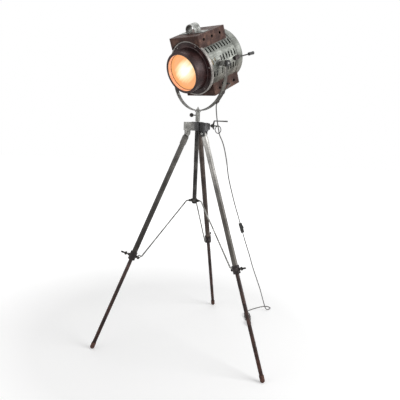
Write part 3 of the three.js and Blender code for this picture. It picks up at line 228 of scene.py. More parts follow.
def plate(outline: Outline, thickness: float) -> Object:
    """A flat plate whose outline stands in X and Z, centred on Y."""
    upright = turned_by(extruded(outline, 0, thickness), ALONG_Y @ Matrix.Scale(-1, 4, (0, 1, 0)))
    return shifted(upright, 0, -thickness / 2, 0)


def block(size: Sequence[float], centre: Sequence[float]) -> Object:
    """A plain block, used as a cutting tool or as stock.

    Args:
        size: its sides along X, Y and Z.
        centre: its middle.

    Returns:
        The block.
    """
    mesh = bmesh.new()
    bmesh.ops.create_cube(mesh, size=1, matrix=Matrix.Translation(centre) @ Matrix.Diagonal((*size, 1)))
    return stock(mesh)


def ball(radius: float, centre: Sequence[float], sides: int = 40) -> Object:
    """A round ball.

    Args:
        radius: half its size.
        centre: its middle.
        sides: flats round it.

    Returns:
        The ball.
    """
    mesh = bmesh.new()
    bmesh.ops.create_uvsphere(mesh, u_segments=sides, v_segments=sides // 2, radius=radius)
    bmesh.ops.translate(mesh, verts=mesh.verts, vec=centre)
    return stock(mesh)


def rod(path: Sequence[Vector], radius: float, sides: int = 12, closed: bool = False) -> Object:
    """A round rod or tube that follows a path of close points, without twisting.

    Args:
        path: the points of its centre line.
        radius: half its thickness.
        sides: flats round it.
        closed: True where the path ends at its start.

    Returns:
        The rod, with closed ends.
    """
    mesh = bmesh.new()
    count = len(path)
    ends = (lambda i: (path[i - 1], path[(i + 1) % count])) if closed else (
        lambda i: (path[max(i - 1, 0)], path[min(i + 1, count - 1)]))
    along = [(ends(i)[1] - ends(i)[0]).normalized() for i in range(count)]
    side = along[0].orthogonal().normalized()
    rings = []
    for i, (point, direction) in enumerate(zip(path, along)):
        if i:
            side = along[i - 1].rotation_difference(direction) @ side
        across = direction.cross(side)
        turns = [2 * math.pi * k / sides for k in range(sides)]
        rings.append([mesh.verts.new(point + radius * (math.cos(t) * side + math.sin(t) * across)) for t in turns])
    skin(mesh, rings, closed)
    if not closed:
        mesh.faces.new(rings[0])
        mesh.faces.new(rings[-1])
    return stock(mesh)


def turned_by(made: Object, matrix: Matrix) -> Object:
    """Turns or moves stock in its mesh, and keeps its faces outwards when the matrix mirrors it.

    Args:
        made: the stock.
        matrix: the turn or move.

    Returns:
        The same stock.
    """
    made.data.transform(matrix)
    if matrix.determinant() < 0:
        made.data.flip_normals()
    return made


def shifted(made: Object, x: float, y: float, z: float) -> Object:
    """Moves stock in its mesh."""
    return turned_by(made, Matrix.Translation((x, y, z)))


def about_z(made: Object, degrees: float) -> Object:
    """Turns stock about Z."""
    return turned_by(made, Matrix.Rotation(math.radians(degrees), 4, "Z"))


def settled(made: Object) -> Object:
    """Turns an object's modifiers into plain mesh.

    Args:
        made: the object.

    Returns:
        The same object, with no modifiers.
    """
    evaluated = made.evaluated_get(bpy.context.evaluated_depsgraph_get())
    mesh = bpy.data.meshes.new_from_object(evaluated)
    before = made.data
    made.modifiers.clear()
    made.data = mesh
    bpy.data.meshes.remove(before)
    return made


def combined(operation: str, body: Object, tools: Iterable[Object]) -> Object:
    """Joins tools to a body, or cuts them from it.

    Args:
        operation: UNION or DIFFERENCE.
        body: the solid that is worked on.
        tools: the other solids, which are used up.

    Returns:
        The body.
    """
    used = list(tools)
    for tool in used:
        modifier = body.modifiers.new(operation.lower(), "BOOLEAN")
        modifier.operation, modifier.solver, modifier.object = operation, "MANIFOLD", tool
    settled(body)
    for tool in used:
        bpy.data.objects.remove(tool)
    return body


def joined(body: Object, *tools: Object) -> Object:
    """One solid of several that overlap."""
    return combined("UNION", body, tools)


def cut(body: Object, *tools: Object) -> Object:
    """A solid with tools cut from it."""
    return combined("DIFFERENCE", body, tools)


def through(points: Sequence[Sequence[float]], steps: int = 8) -> list[Vector]:
    """A smooth curve through points, as a centripetal Catmull-Rom spline.

    Args:
        points: the points that it passes through.
        steps: straight pieces from one point to the next.

    Returns:
        The curve's points.
    """
    given = [Vector(point) for point in points]
    line = [2 * given[0] - given[1], *given, 2 * given[-1] - given[-2]]
    made = [given[0]]
    for before, start, end, after in zip(line, line[1:], line[2:], line[3:]):
        gaps = [math.sqrt((b - a).length) for a, b in ((before, start), (start, end), (end, after))]
        chord = (end - start) / gaps[1]
        leave = ((start - before) / gaps[0] - (end - before) / (gaps[0] + gaps[1]) + chord) * gaps[1]
        arrive = (chord - (after - start) / (gaps[1] + gaps[2]) + (after - end) / gaps[2]) * gaps[1]
        for i in range(1, steps + 1):
            t = i / steps
            made.append(
                (2 * t**3 - 3 * t**2 + 1) * start
                + (t**3 - 2 * t**2 + t) * leave
                + (3 * t**2 - 2 * t**3) * end
                + (t**3 - t**2) * arrive
            )
    return made


# ---- node trees ----
class Tree:
    """A node tree under construction."""

    def __init__(self, tree: bpy.types.NodeTree) -> None:
        """Takes the tree that the nodes go into."""
        self.tree = tree

    def feed(self, target: Socket, value: Any) -> None:
        """Links an input to another node, or sets its value.

        Args:
            target: the input.
            value: the output that it is linked to, or its value.
        """
        if isinstance(value, Socket):
            self.tree.links.new(value, target)
        else:
            target.default_value = value

    def node(self, kind: str, links: Links, out: Union[str, int] = 0, **settings: Any) -> Optional[Socket]:
        """Adds a node.

        Args:
            kind: its type.
            links: the value or the linked output of its inputs, by name or number.
            out: which output is wanted.
            **settings: its own properties.

        Returns:
            The output, or None where the node has none.
        """
        made = self.tree.nodes.new(kind)
        for key, value in settings.items():
            setattr(made, key, value)
        for key, value in links.items():
            self.feed(made.inputs[key], value)
        return made.outputs[out] if made.outputs else None

    def math(self, operation: str, *values: Any) -> Socket:
        """A sum, product or other function of numbers."""
        return self.node("ShaderNodeMath", dict(enumerate(values)), operation=operation)


# ---- repeated pieces, by Geometry Nodes ----
class Kind(Enum):
    """What a named input of a tree holds."""

    COUNT = "NodeSocketInt"
    SIZE = "NodeSocketFloat"
    MATERIAL = "NodeSocketMaterial"


class Recipe(Tree):
    """A Geometry Nodes tree under construction, with named inputs for its sizes."""

    def __init__(self, name: str, inputs: dict[str, Kind]) -> None:
        """Starts a tree that takes a geometry and named inputs, and gives a geometry.

        Args:
            name: the tree's name.
            inputs: what each named input holds.
        """
        super().__init__(bpy.data.node_groups.new(name, "GeometryNodeTree"))
        face = self.tree.interface
        face.new_socket("Geometry", in_out="INPUT", socket_type="NodeSocketGeometry")
        self.identifiers = {
            title: face.new_socket(title, in_out="INPUT", socket_type=kind.value).identifier
            for title, kind in inputs.items()
        }
        face.new_socket("Geometry", in_out="OUTPUT", socket_type="NodeSocketGeometry")
        self.inputs = self.tree.nodes.new("NodeGroupInput").outputs

    def close(self, geometry: Socket) -> None:
        """Ends the tree with real geometry in the given material.

        Args:
            geometry: what the tree has made.
        """
        real = self.node("GeometryNodeRealizeInstances", {"Geometry": geometry})
        dressed = self.node("GeometryNodeSetMaterial", {"Geometry": real, "Material": self.inputs["Material"]})
        self.node("NodeGroupOutput", {"Geometry": dressed})


@dataclass(frozen=True)
class Rows:
    """Copies of a piece in rows along an axis, with the rows spaced round that axis.

    The piece stands at the origin and faces +X. Turns are in degrees, lengths in millimetres.
    """

    radius: float  # from the axis to the piece
    rows: int = 1
    first_turn: float = 0.0
    turn_step: float = 0.0
    count: int = 1
    first: float = 0.0
    pitch: float = 0.0
    skip: float = 0.0  # half the stretch about the middle that stays bare

    @staticmethod
    def recipe() -> Recipe:
        """The tree that repeats a piece in rows.

        Returns:
            The tree, ready for Rows.of().
        """
        counts = dict.fromkeys(("Count", "Rows"), Kind.COUNT)
        sizes = dict.fromkeys(("Radius", "First turn", "Turn step", "First", "Pitch", "Skip"), Kind.SIZE)
        made = Recipe("rows_round_an_axis", {**counts, **sizes, "Material": Kind.MATERIAL})
        take = made.inputs
        out = made.node("ShaderNodeCombineXYZ", {"X": take["Radius"]})
        piece = made.node("GeometryNodeTransform", {"Geometry": take["Geometry"], "Translation": out})
        start = made.node("ShaderNodeCombineXYZ", {"Z": take["First"]})
        step = made.node("ShaderNodeCombineXYZ", {"Z": take["Pitch"]})
        line = made.node("GeometryNodeMeshLine", {"Count": take["Count"], "Start Location": start, "Offset": step})
        place = made.node("ShaderNodeSeparateXYZ", {0: made.node("GeometryNodeInputPosition", {})}, "Z")
        distance = made.math("ABSOLUTE", place, 0.0)
        bare = made.math("LESS_THAN", distance, take["Skip"])
        kept = made.node("GeometryNodeDeleteGeometry", {"Geometry": line, "Selection": bare})
        row = made.node("GeometryNodeInstanceOnPoints", {"Points": kept, "Instance": piece})
        turns = made.node("GeometryNodeMeshLine", {"Count": take["Rows"], "Offset": (0.0, 0.0, 0.0)})
        index = made.node("GeometryNodeInputIndex", {})
        turn = made.math("ADD", made.math("MULTIPLY", index, take["Turn step"]), take["First turn"])
        spin = made.node("ShaderNodeCombineXYZ", {"Z": turn})
        made.close(made.node("GeometryNodeInstanceOnPoints", {"Points": turns, "Instance": row, "Rotation": spin}))
        return made

    def of(self, piece: Object, recipe: Recipe, material: Optional[bpy.types.Material] = None) -> Object:
        """Repeats a piece and turns the copies into plain mesh.

        Args:
            piece: the stock to repeat, which is used up.
            recipe: the tree from Rows.recipe().
            material: the material that the copies wear.

        Returns:
            The copies as one object.
        """
        values = {
            "Count": self.count,
            "Rows": self.rows,
            "Radius": float(self.radius),
            "First turn": math.radians(self.first_turn),
            "Turn step": math.radians(self.turn_step),
            "First": float(self.first),
            "Pitch": float(self.pitch),
            "Skip": float(self.skip),
            "Material": material,
        }
        modifier = piece.modifiers.new("rows", "NODES")
        modifier.node_group = recipe.tree
        for title, value in values.items():
            if value is not None:
                modifier[recipe.identifiers[title]] = value
        return settled(piece)


# ---- finishes ----
def linear(tone: int) -> tuple[float, float, float, float]:
    """A display colour such as 0x4F3B36 as the linear colour that shaders take."""
    shares = [((tone >> shift) & 255) / 255 for shift in (16, 8, 0)]
    return (*(s / 12.92 if s <= 0.04045 else ((s + 0.055) / 1.055) ** 2.4 for s in shares), 1.0)


class Paint(Tree):
    """A procedural material under construction, patterned in the piece's own millimetres."""

    def __init__(self, name: str) -> None:
        """Starts a material with a plain shader.

        Args:
            name: the material's name.
        """
        self.material = bpy.data.materials.new(name)
        self.material.use_nodes = True
        super().__init__(self.material.node_tree)
        self.tree.nodes.clear()
        self.shader = self.tree.nodes.new("ShaderNodeBsdfPrincipled")
        self.node("ShaderNodeOutputMaterial", {"Surface": self.shader.outputs["BSDF"]})
        self.place = self.node("ShaderNodeAttribute", {}, "Vector", attribute_name=LOCAL)

    def noise(self, size: float, stretch: Sequence[float] = (1, 1, 1), detail: float = 4.0) -> Socket:
        """Smooth noise from 0 to 1.

        Args:
            size: how far across its spots are, in millimetres.
            stretch: a small number makes the spots long that way.
            detail: how much finer noise is added.

        Returns:
            The noise.
        """
        vector = self.node("ShaderNodeMapping", {"Vector": self.place, "Scale": tuple(stretch)})
        links = {"Vector": vector, "Scale": 1 / size, "Detail": detail, "Roughness": 0.6}
        return self.node("ShaderNodeTexNoise", links)

    def ramp(self, factor: Socket, *stops: tuple[float, Any]) -> Socket:
        """Colours or greys at places along a factor.

        Args:
            factor: what picks the place, from 0 to 1.
            *stops: each place with its colour or grey.

        Returns:
            The colour.
        """
        made = self.node("ShaderNodeValToRGB", {"Fac": factor}).node
        bar = made.color_ramp.elements
        for i, (place, tone) in enumerate(stops):
            stop = bar[i] if i < 2 else bar.new(place)
            stop.position = place
            stop.color = tone if isinstance(tone, tuple) else (tone, tone, tone, 1.0)
        return made.outputs["Color"]

    def mixed(self, factor: Any, first: Any, second: Any, blend: str = "MIX") -> Socket:
        """A mixture of two colours."""
        return self.node("ShaderNodeMix", {0: factor, 6: first, 7: second}, 2, data_type="RGBA", blend_type=blend)

    def bump(self, height: Socket, depth: float) -> None:
        """Gives the surface small relief, with its depth in millimetres."""
        normal = self.node("ShaderNodeBump", {"Height": height, "Distance": depth * MM, "Strength": 1.0}, "Normal")
        self.feed(self.shader.inputs["Normal"], normal)

    def worn_edges(self, width: float) -> Socket:
        """A mask that is 1 along a piece's outer edges, broken up as wear is.

        Args:
            width: how far the wear reaches from an edge.

        Returns:
            The mask.
        """
        round_normal = self.node("ShaderNodeBevel", {"Radius": width * MM}, "Normal", samples=4)
        flat_normal = self.node("ShaderNodeNewGeometry", {}, "Normal")
        bend = self.node("ShaderNodeVectorMath", {0: round_normal, 1: flat_normal}, "Value", operation="DOT_PRODUCT")
        rubbed = self.ramp(self.noise(14), (0.38, 0.0), (0.62, 1.0))
        return self.math("MULTIPLY", self.ramp(bend, (0.72, 1.0), (0.97, 0.0)), rubbed)

    def set(self, **values: Any) -> None:
        """Sets or links the shader's own inputs, with underscores for the spaces in their names."""
        for key, value in values.items():
            self.feed(self.shader.inputs[key.replace("_", " ")], value)


@dataclass(frozen=True)
class Finish:
    """A finish. Its material is made once, when a piece first asks for it."""

    slot: str

    @property
    def title(self) -> str:
        """The material's name."""
        return self.slot

    @cached_property
    def material(self) -> bpy.types.Material:
        """The finished material.

        Returns:
            The same material each time.
        """
        paint = Paint(self.title)
        self.dress(paint)
        return paint.material

    def dress(self, paint: Paint) -> None:
        """Adds the finish to a plain material."""
        raise NotImplementedError


@dataclass(frozen=True)
class PaintedLightFade:
    """A stretch along one of the piece's axes over which its colour takes on another tone: painted light, mostly
    painted shade, and on the lower legs a painted reflection of a brown floor.
    """

    axis: str
    start: float
    end: float
    tone: int


@dataclass(frozen=True)
class AgedMetal(Finish):
    """Metal with a patina: blotches of a darker and a lighter tone, fine streaks and rubbed edges, and where given
    painted light and shade along one axis.
    """

    shade: int
    tone: int
    shine: int
    metallic: float = 0.75
    smooth: float = 0.32  # roughness of the lightest places
    rough: float = 0.6  # roughness of the darkest places
    patch: float = 40.0  # size of the blotches
    streaks: tuple[float, float, float] = (1, 1, 1)  # a small number makes the streaks long that way
    streak_size: float = 3.0
    streak_depth: float = 0.35
    wear: float = 0.0  # how far the edges are rubbed to the light tone
    relief: float = 0.12
    gloss: float = 0.35
    # painted light and shade along one axis, where given
    painted_light_fade: Optional[PaintedLightFade] = None

    def dress(self, paint: Paint) -> None:
        """Adds the finish to a plain material.

        Args:
            paint: the material.
        """
        blotch = paint.noise(self.patch, detail=6.0)
        streak = paint.noise(self.streak_size, self.streaks, 3.0)
        stops = ((0.36, linear(self.shade)), (0.5, linear(self.tone)), (0.68, linear(self.shine)))
        body = paint.ramp(blotch, *stops)
        lines = paint.ramp(streak, (0.3, 1 - self.streak_depth), (0.7, 1.0))
        colour = paint.mixed(1.0, body, lines, "MULTIPLY")
        if self.wear:
            edge = paint.math("MULTIPLY", paint.worn_edges(1.6), self.wear)
            colour = paint.mixed(edge, colour, linear(self.shine))
        # painted light and shade: the colour is multiplied towards another tone along one axis
        if self.painted_light_fade:
            along = paint.node("ShaderNodeSeparateXYZ", {0: paint.place}, self.painted_light_fade.axis)
            span = {"Value": along, "From Min": self.painted_light_fade.start, "From Max": self.painted_light_fade.end}
            colour = paint.mixed(paint.node("ShaderNodeMapRange", span), colour, linear(self.painted_light_fade.tone), "MULTIPLY")
        both = paint.math("MULTIPLY_ADD", streak, 0.4, paint.math("MULTIPLY", blotch, 0.6))
        span = {"Value": both, "From Min": 0.35, "From Max": 0.65, "To Min": self.rough, "To Max": self.smooth}
        roughness = paint.node("ShaderNodeMapRange", span)
        paint.set(Base_Color=colour, Metallic=self.metallic, Roughness=roughness, Specular_IOR_Level=self.gloss)
        paint.bump(streak, self.relief)


@dataclass(frozen=True)
class Moulded(Finish):
    """Plastic, rubber or glazed ceramic: one tone, a little uneven, with a fine surface."""

    tone: int
    dust: int
    roughness: float = 0.5
    grain: float = 0.6
    relief: float = 0.05
    coat: float = 0.0

    def dress(self, paint: Paint) -> None:
        """Adds the finish to a plain material.

        Args:
            paint: the material.
        """
        cloud = paint.ramp(paint.noise(12, detail=5.0), (0.4, linear(self.tone)), (0.75, linear(self.dust)))
        fine = paint.noise(self.grain)
        span = {"Value": fine, "To Min": self.roughness - 0.08, "To Max": self.roughness + 0.12}
        paint.set(Base_Color=cloud, Roughness=paint.node("ShaderNodeMapRange", span), Coat_Weight=self.coat)
        paint.bump(fine, self.relief)


@dataclass(frozen=True)
class LitGlass(Finish):
    """Frosted glass with the lamp alight behind it: hot in the middle, amber at the rim."""

    reach: float  # from the hot spot to the amber
    hot_spot: tuple[float, float, float] = (14.0, 0.0, 8.0)
    glow: float = 1.0
    hot_turn: float = -28.0  # degrees that the hot spot leans
    hot_stretch: tuple[float, float, float] = (1.45, 1000.0, 1.0)
    beam_turn: float = 32.0  # degrees that the streaks lean
    beam_stretch: tuple[float, float, float] = (0.12, 0.1, 1.0)
    beam_size: float = 13.0
    beam_share: float = 0.62  # how much the streaks break up the glow
    full: float = 1.2  # the share at the ramp's end

    def dress(self, paint: Paint) -> None:
        """Adds the finish to a plain material.

        Args:
            paint: the material.
        """
        centred = {"Vector": paint.place, "Location": self.hot_spot, "Scale": self.hot_stretch,
                   "Rotation": (0, math.radians(self.hot_turn), 0)}
        across = paint.node("ShaderNodeMapping", centred, vector_type="TEXTURE")
        distance = paint.node("ShaderNodeVectorMath", {0: across}, "Value", operation="LENGTH")
        leaning = {"Vector": paint.place, "Rotation": (0, math.radians(self.beam_turn), 0)}
        drawn = {"Vector": paint.node("ShaderNodeMapping", leaning), "Scale": self.beam_stretch}
        fine = {"Vector": paint.node("ShaderNodeMapping", drawn), "Scale": 1 / self.beam_size, "Detail": 2.0}
        beams = paint.node("ShaderNodeTexNoise", fine)
        share = paint.math("MULTIPLY_ADD", beams, self.beam_share, paint.math("MULTIPLY", distance, 1 / self.reach))
        stops = ((0.5, linear(0xFFFFFF)), (0.7, linear(0xFFF3D2)), (0.92, linear(0xFBD298)), (1.12, linear(0xEAA66C)))
        scaled = [(place / self.full, tone) for place, tone in stops]
        light = paint.ramp(paint.math("DIVIDE", share, self.full), *scaled)
        paint.set(Base_Color=linear(0x6E4A2C), Roughness=0.25, Emission_Color=light, Emission_Strength=self.glow)
        paint.bump(paint.noise(4.0), 0.08)


@dataclass(frozen=True)
class LitEnamel(Finish):
    """The pale lining of the snoot, which takes the lamp's warm light."""

    glow: float = 0.55

    @property
    def title(self) -> str:
        """The material's name."""
        return self.slot + "_lining"

    def dress(self, paint: Paint) -> None:
        """Adds the finish to a plain material.

        Args:
            paint: the material.
        """
        tone = paint.ramp(paint.noise(18), (0.35, linear(0xDE9C78)), (0.65, linear(0xF4BE9A)))
        paint.set(Base_Color=tone, Roughness=0.4, Emission_Color=tone, Emission_Strength=self.glow)


class Finishes:
    """The lamp's finishes."""

    BRONZE = AgedMetal("antique_brown", 0x321E19, 0x472D25, 0x6E4E3F, 0.12, 0.5, 0.72, 34, wear=0.45, relief=0.2,
                       gloss=0.3)
    BEZEL = AgedMetal("dark_bezel", 0x200F0F, 0x311A1A, 0x503432, 0.2, 0.34, 0.55, 46, wear=0.3, relief=0.15)
    # The drum's lower part is painted darker and browner: painted shade.
    BRIGHT = AgedMetal("bright_drum", 0x676964, 0x82857F, 0x9EA19B, 0.5, 0.4, 0.6, 55, (1, 0.06, 1), 5, 0.22,
                       painted_light_fade=PaintedLightFade("Z", 10, -95, 0xCBBBB0))
    RING = AgedMetal("bright_drum", 0x827D79, 0xA39E99, 0xC6C1BC, 0.4, 0.36, 0.55, 40)
    # A darker band on the cover's round back edge: painted shade.
    SHADED_COVER_EDGE = AgedMetal("bright_drum", 0x3E3C3A, 0x5A5856, 0x84827E, 0.5, 0.4, 0.6, 40)
    # Near-black inside of the drum, the cover and the lens back: painted shade.
    SHADED_INSIDE = AgedMetal("drum_inside", 0x0B0A09, 0x12100F, 0x1E1B19, 0.1, 0.7, 0.9, 40, gloss=0.1)
    HANDLE = AgedMetal("yoke_steel", 0x6E6E6A, 0x929490, 0xBCBEBA, 0.5, 0.3, 0.5, 30, (1, 0.05, 1), 2.5, 0.4)
    # The strap is painted darker towards its +X side: painted shade.
    STRAP = AgedMetal("yoke_steel", 0x6C6B68, 0x8E8C88, 0xBAB8B3, 0.4, 0.3, 0.5, 60, (1, 1, 0.1), 4, 0.3,
                      painted_light_fade=PaintedLightFade("X", -40, 60, 0x9A9894))
    STEEL = AgedMetal("yoke_steel", 0x5A5A57, 0x8C8B87, 0xC6C6C1, 0.7, 0.3, 0.55, 60, (1, 1, 0.1), 4, 0.3)
    # The hub's +X part is painted darker than its -X side: painted shade.
    CAST = AgedMetal("cast_hub", 0x84837F, 0xA8A7A2, 0xCECDC8, 0.4, 0.4, 0.6, 26, (1, 1, 0.3), 4, 0.4, 0.3,
                     painted_light_fade=PaintedLightFade("X", -36, -8, 0x75757A))
    # Shaded copy of the leg nickel, darker down the leg: painted shade.
    SHADED_LEFT_LEG = AgedMetal("aged_nickel", 0x403E3B, 0x575450, 0x827F7A, 0.2, 0.3, 0.45, 110, (1, 1, 0.02), 3.5, 0.45,
                         gloss=0.3, painted_light_fade=PaintedLightFade("Z", -60, -600, 0x88807A))
    # Lit copy of the leg nickel, bright at the top and darker down the leg: painted highlight and painted shade.
    LIT_RIGHT_LEG = AgedMetal("aged_nickel", 0xA8A6A2, 0xD0CEC9, 0xF0EEE9, 0.3, 0.3, 0.45, 110, (1, 1, 0.02), 3.5, 0.45,
                          gloss=0.3, painted_light_fade=PaintedLightFade("Z", -20, -360, 0x7A7672))
    # Shaded, browner copy of the leg nickel: painted shade.
    SHADED_BACK_LEG = AgedMetal("aged_nickel", 0x352C28, 0x4A3F39, 0x70645C, 0.2, 0.35, 0.5, 110, (1, 1, 0.02), 3.5, 0.4,
                         gloss=0.3)
    IRON = AgedMetal("dark_iron", 0x252422, 0x33312F, 0x54524F, 0.4, 0.4, 0.6, 25, (1, 1, 0.2), 4, 0.3, 0.35)
    GREY_IRON = AgedMetal("dark_iron", 0x666662, 0x8A8A86, 0xB9B9B4, 0.5, 0.35, 0.55, 25, (1, 1, 0.2), 4, 0.3, 0.35)
    BLACK = AgedMetal("clamp_black", 0x1F1A1A, 0x2E2727, 0x5A5250, 0.3, 0.4, 0.65, 22, wear=0.4)
    # The lower tubes redden towards the foot: a painted reflection of a brown floor.
    UMBER = AgedMetal("brown_tube", 0x261E1C, 0x382B28, 0x5C4842, 0.25, 0.3, 0.5, 60, (1, 1, 0.03), 4, 0.35,
                      gloss=0.3, painted_light_fade=PaintedLightFade("Z", -700, -1080, 0xFFD2C4))
    RETAINER = AgedMetal("dark_bezel", 0x5A3420, 0x7A4A2C, 0xA06A40, 0.3, 0.4, 0.6, 20)
    RUBBER = Moulded("foot_rubber", 0x40271F, 0x6A4538, 0.75, 0.8, 0.1)
    PLASTIC = Moulded("black_plastic", 0x161616, 0x2C2B2A, 0.45)
    CORD = Moulded("cord_sheath", 0x4B4A48, 0x6C6B67, 0.6, 0.7, 0.08)
    LENS = LitGlass("lens_glass", 62.0)
    BULB = LitGlass("bulb_glass", 60.0, (0.0, 0.0, 0.0), 0.3)
    MIRROR = AgedMetal("mirror_face", 0xC8C8C8, 0xDADADA, 0xEEEEEE, 1.0, 0.05, 0.2, 40, relief=0.01)
    CERAMIC = Moulded("lamp_ceramic", 0xE2DCCF, 0xF0EBE0, 0.25, 1.0, 0.02, 0.5)
    LINING = LitEnamel("dark_bezel")


# ---- placing and finishing pieces ----
@dataclass(frozen=True)
class Spot:
    """A sub-assembly's place: the body that it rides on and its own axes, in millimetres."""

    body: str
    axes: Matrix

    @classmethod
    def at(cls, body: str, origin: Vector, x: Vector, y: Vector) -> "Spot":
        """A spot in the scene.

        Args:
            body: the body that it rides on.
            origin: its origin, in metres.
            x: the way of its X axis.
            y: the way of its Y axis.

        Returns:
            The spot.
        """
        columns = [x.normalized(), y.normalized(), x.cross(y).normalized()]
        turn = Matrix(columns).transposed().to_4x4()
        return cls(body, Matrix.Translation(origin) @ turn @ Matrix.Scale(MM, 4))

    def riding(self, body: str) -> "Spot":
        """The same axes on another body."""
        return Spot(body, self.axes)

    def box(self, node: str) -> tuple[Vector, Vector]:
        """The box round a frame node, in this spot's axes.

        Args:
            node: the node's name.

        Returns:
            Its lowest and its highest corner.
        """
        inverse = self.axes.inverted()
        points = [inverse @ vertex.co for vertex in Bench.frame["nodes"][node].data.vertices]
        return (
            Vector([min(point[i] for point in points) for i in range(3)]),
            Vector([max(point[i] for point in points) for i in range(3)]),
        )


class Bench:
    """The work in hand: the frame, the tree that repeats pieces, and the last steps of each piece."""

    frame: dict[str, Any]
    rows: Recipe

    @classmethod
    def worked(cls, node: str, spot: Spot) -> Object:
        """A welded copy of a frame node as stock, with its flat faces whole.

        Args:
            node: the node's name.
            spot: the axes that the copy is in.

        Returns:
            The copy.
        """
        weld, flat = 0.002, math.radians(0.6)
        mesh = bmesh.new()
        mesh.from_mesh(cls.frame["nodes"][node].data)
        for layers in (mesh.loops.layers.uv, mesh.loops.layers.float_vector):
            for layer in list(layers.values()):
                layers.remove(layer)
        bmesh.ops.transform(mesh, matrix=spot.axes.inverted(), verts=mesh.verts)
        bmesh.ops.remove_doubles(mesh, verts=mesh.verts, dist=weld)
        bmesh.ops.dissolve_limit(mesh, angle_limit=flat, verts=mesh.verts, edges=mesh.edges)
        plain = bpy.data.meshes.new("plain")
        mesh.to_mesh(plain)
        mesh.free()
        clean = bmesh.new()
        points = [clean.verts.new(vertex.co) for vertex in plain.vertices]
        for face in plain.polygons:
            clean.faces.new([points[i] for i in face.vertices])
        bpy.data.meshes.remove(plain)
        return stock(clean)

    @staticmethod
    def softened(made: Object, width: float, crease: float) -> Object:
        """Rounds a piece's sharp edges, shades it smooth between them and evens its normals.

        Args:
            made: the piece.
            width: width of the rounding, or 0 for none.
            crease: degrees past which an edge is sharp.

        Returns:
            The same piece.
        """
        if width:
            bevel = made.modifiers.new("edges", "BEVEL")
            bevel.width, bevel.segments, bevel.limit_method = width, 2, "ANGLE"
            bevel.angle_limit = math.radians(crease)
            settled(made)
        mesh = bmesh.new()
        mesh.from_mesh(made.data)
        for face in mesh.faces:
            face.smooth = True
        for edge in mesh.edges:
            edge.smooth = edge.calc_face_angle(math.pi) < math.radians(crease + 8)
        mesh.to_mesh(made.data)
        mesh.free()
        even = made.modifiers.new("normals", "WEIGHTED_NORMAL")
        even.keep_sharp = True
        return settled(made)

    @classmethod
    def finish(
        cls,
        made: Object,
        name: str,
        spot: Spot,
        finish: Finish,
        stands_for: Sequence[str] = (),
        edge: float = 0.4,
        crease: float = 34.0,
    ) -> Object:
        """Softens a piece, places it in the scene, dresses it and puts it on its body.

        Args:
            made: the stock, in the spot's axes.
            name: the piece's name.
            spot: where it belongs.
            finish: one of Finishes.
            stands_for: the frame nodes that it stands for.
            edge: width of the rounding on its sharp edges.
            crease: degrees past which an edge is sharp.

        Returns:
            The finished piece.
        """
        cls.softened(made, edge, crease)
        made.name = made.data.name = name
        place = made.data.attributes.new(LOCAL, "FLOAT_VECTOR", "POINT")
        for item, vertex in zip(place.data, made.data.vertices):
            item.vector = vertex.co
        made.data.transform(spot.axes)
        made.data.materials.clear()
        made.data.materials.append(finish.material)
        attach(made, spot.body)
        if stands_for:
            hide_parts(*stands_for)
        LOG.info("%s: %d faces on %s", name, len(made.data.polygons), spot.body)
        return made

    @staticmethod
    def lined(made: Object, spot: Spot, finish: Finish, within: Callable[[float, float], bool]) -> None:
        """Gives a turned piece of the head a second finish on some of its faces.

        Args:
            made: the finished piece.
            spot: the head's place.
            finish: the second finish.
            within: says from a face's radius and distance back whether it wears the second finish.
        """
        made.data.materials.append(finish.material)
        slot = len(made.data.materials) - 1
        into = spot.axes.inverted()
        for face in made.data.polygons:
            middle = into @ face.center
            if within(math.hypot(middle.x, middle.z), middle.y):
                face.material_index = slot

    @classmethod
    def reworked(cls, node: str, spot: Spot, finish: Finish, edge: float = 0.4, crease: float = 34.0) -> Object:
        """A frame node's own shape, welded, with rounded edges and its finish."""
        return cls.finish(cls.worked(node, spot), node + "_worked", spot, finish, (node,), edge, crease)


@dataclass(frozen=True)
class Screw:
    """A round-headed slotted screw. Its head stands on the face that it holds and faces +Z."""

    radius: float = 3.2
    height: float = 1.8
    slot: float = 0.9

    def head(self) -> Object:
        """The head as stock.

        Returns:
            The head.
        """
        dome = arc(0, -0.55 * self.radius, 1.15 * self.radius, 30, 90, 5)[:-1]
        profile = [(0.0, -0.4), (self.radius, -0.4), *dome, (0.0, 0.6 * self.radius)]
        head = turned(profile, 20)
        return cut(head, block((2.4 * self.radius, self.slot, self.height), (0, 0, self.height)))


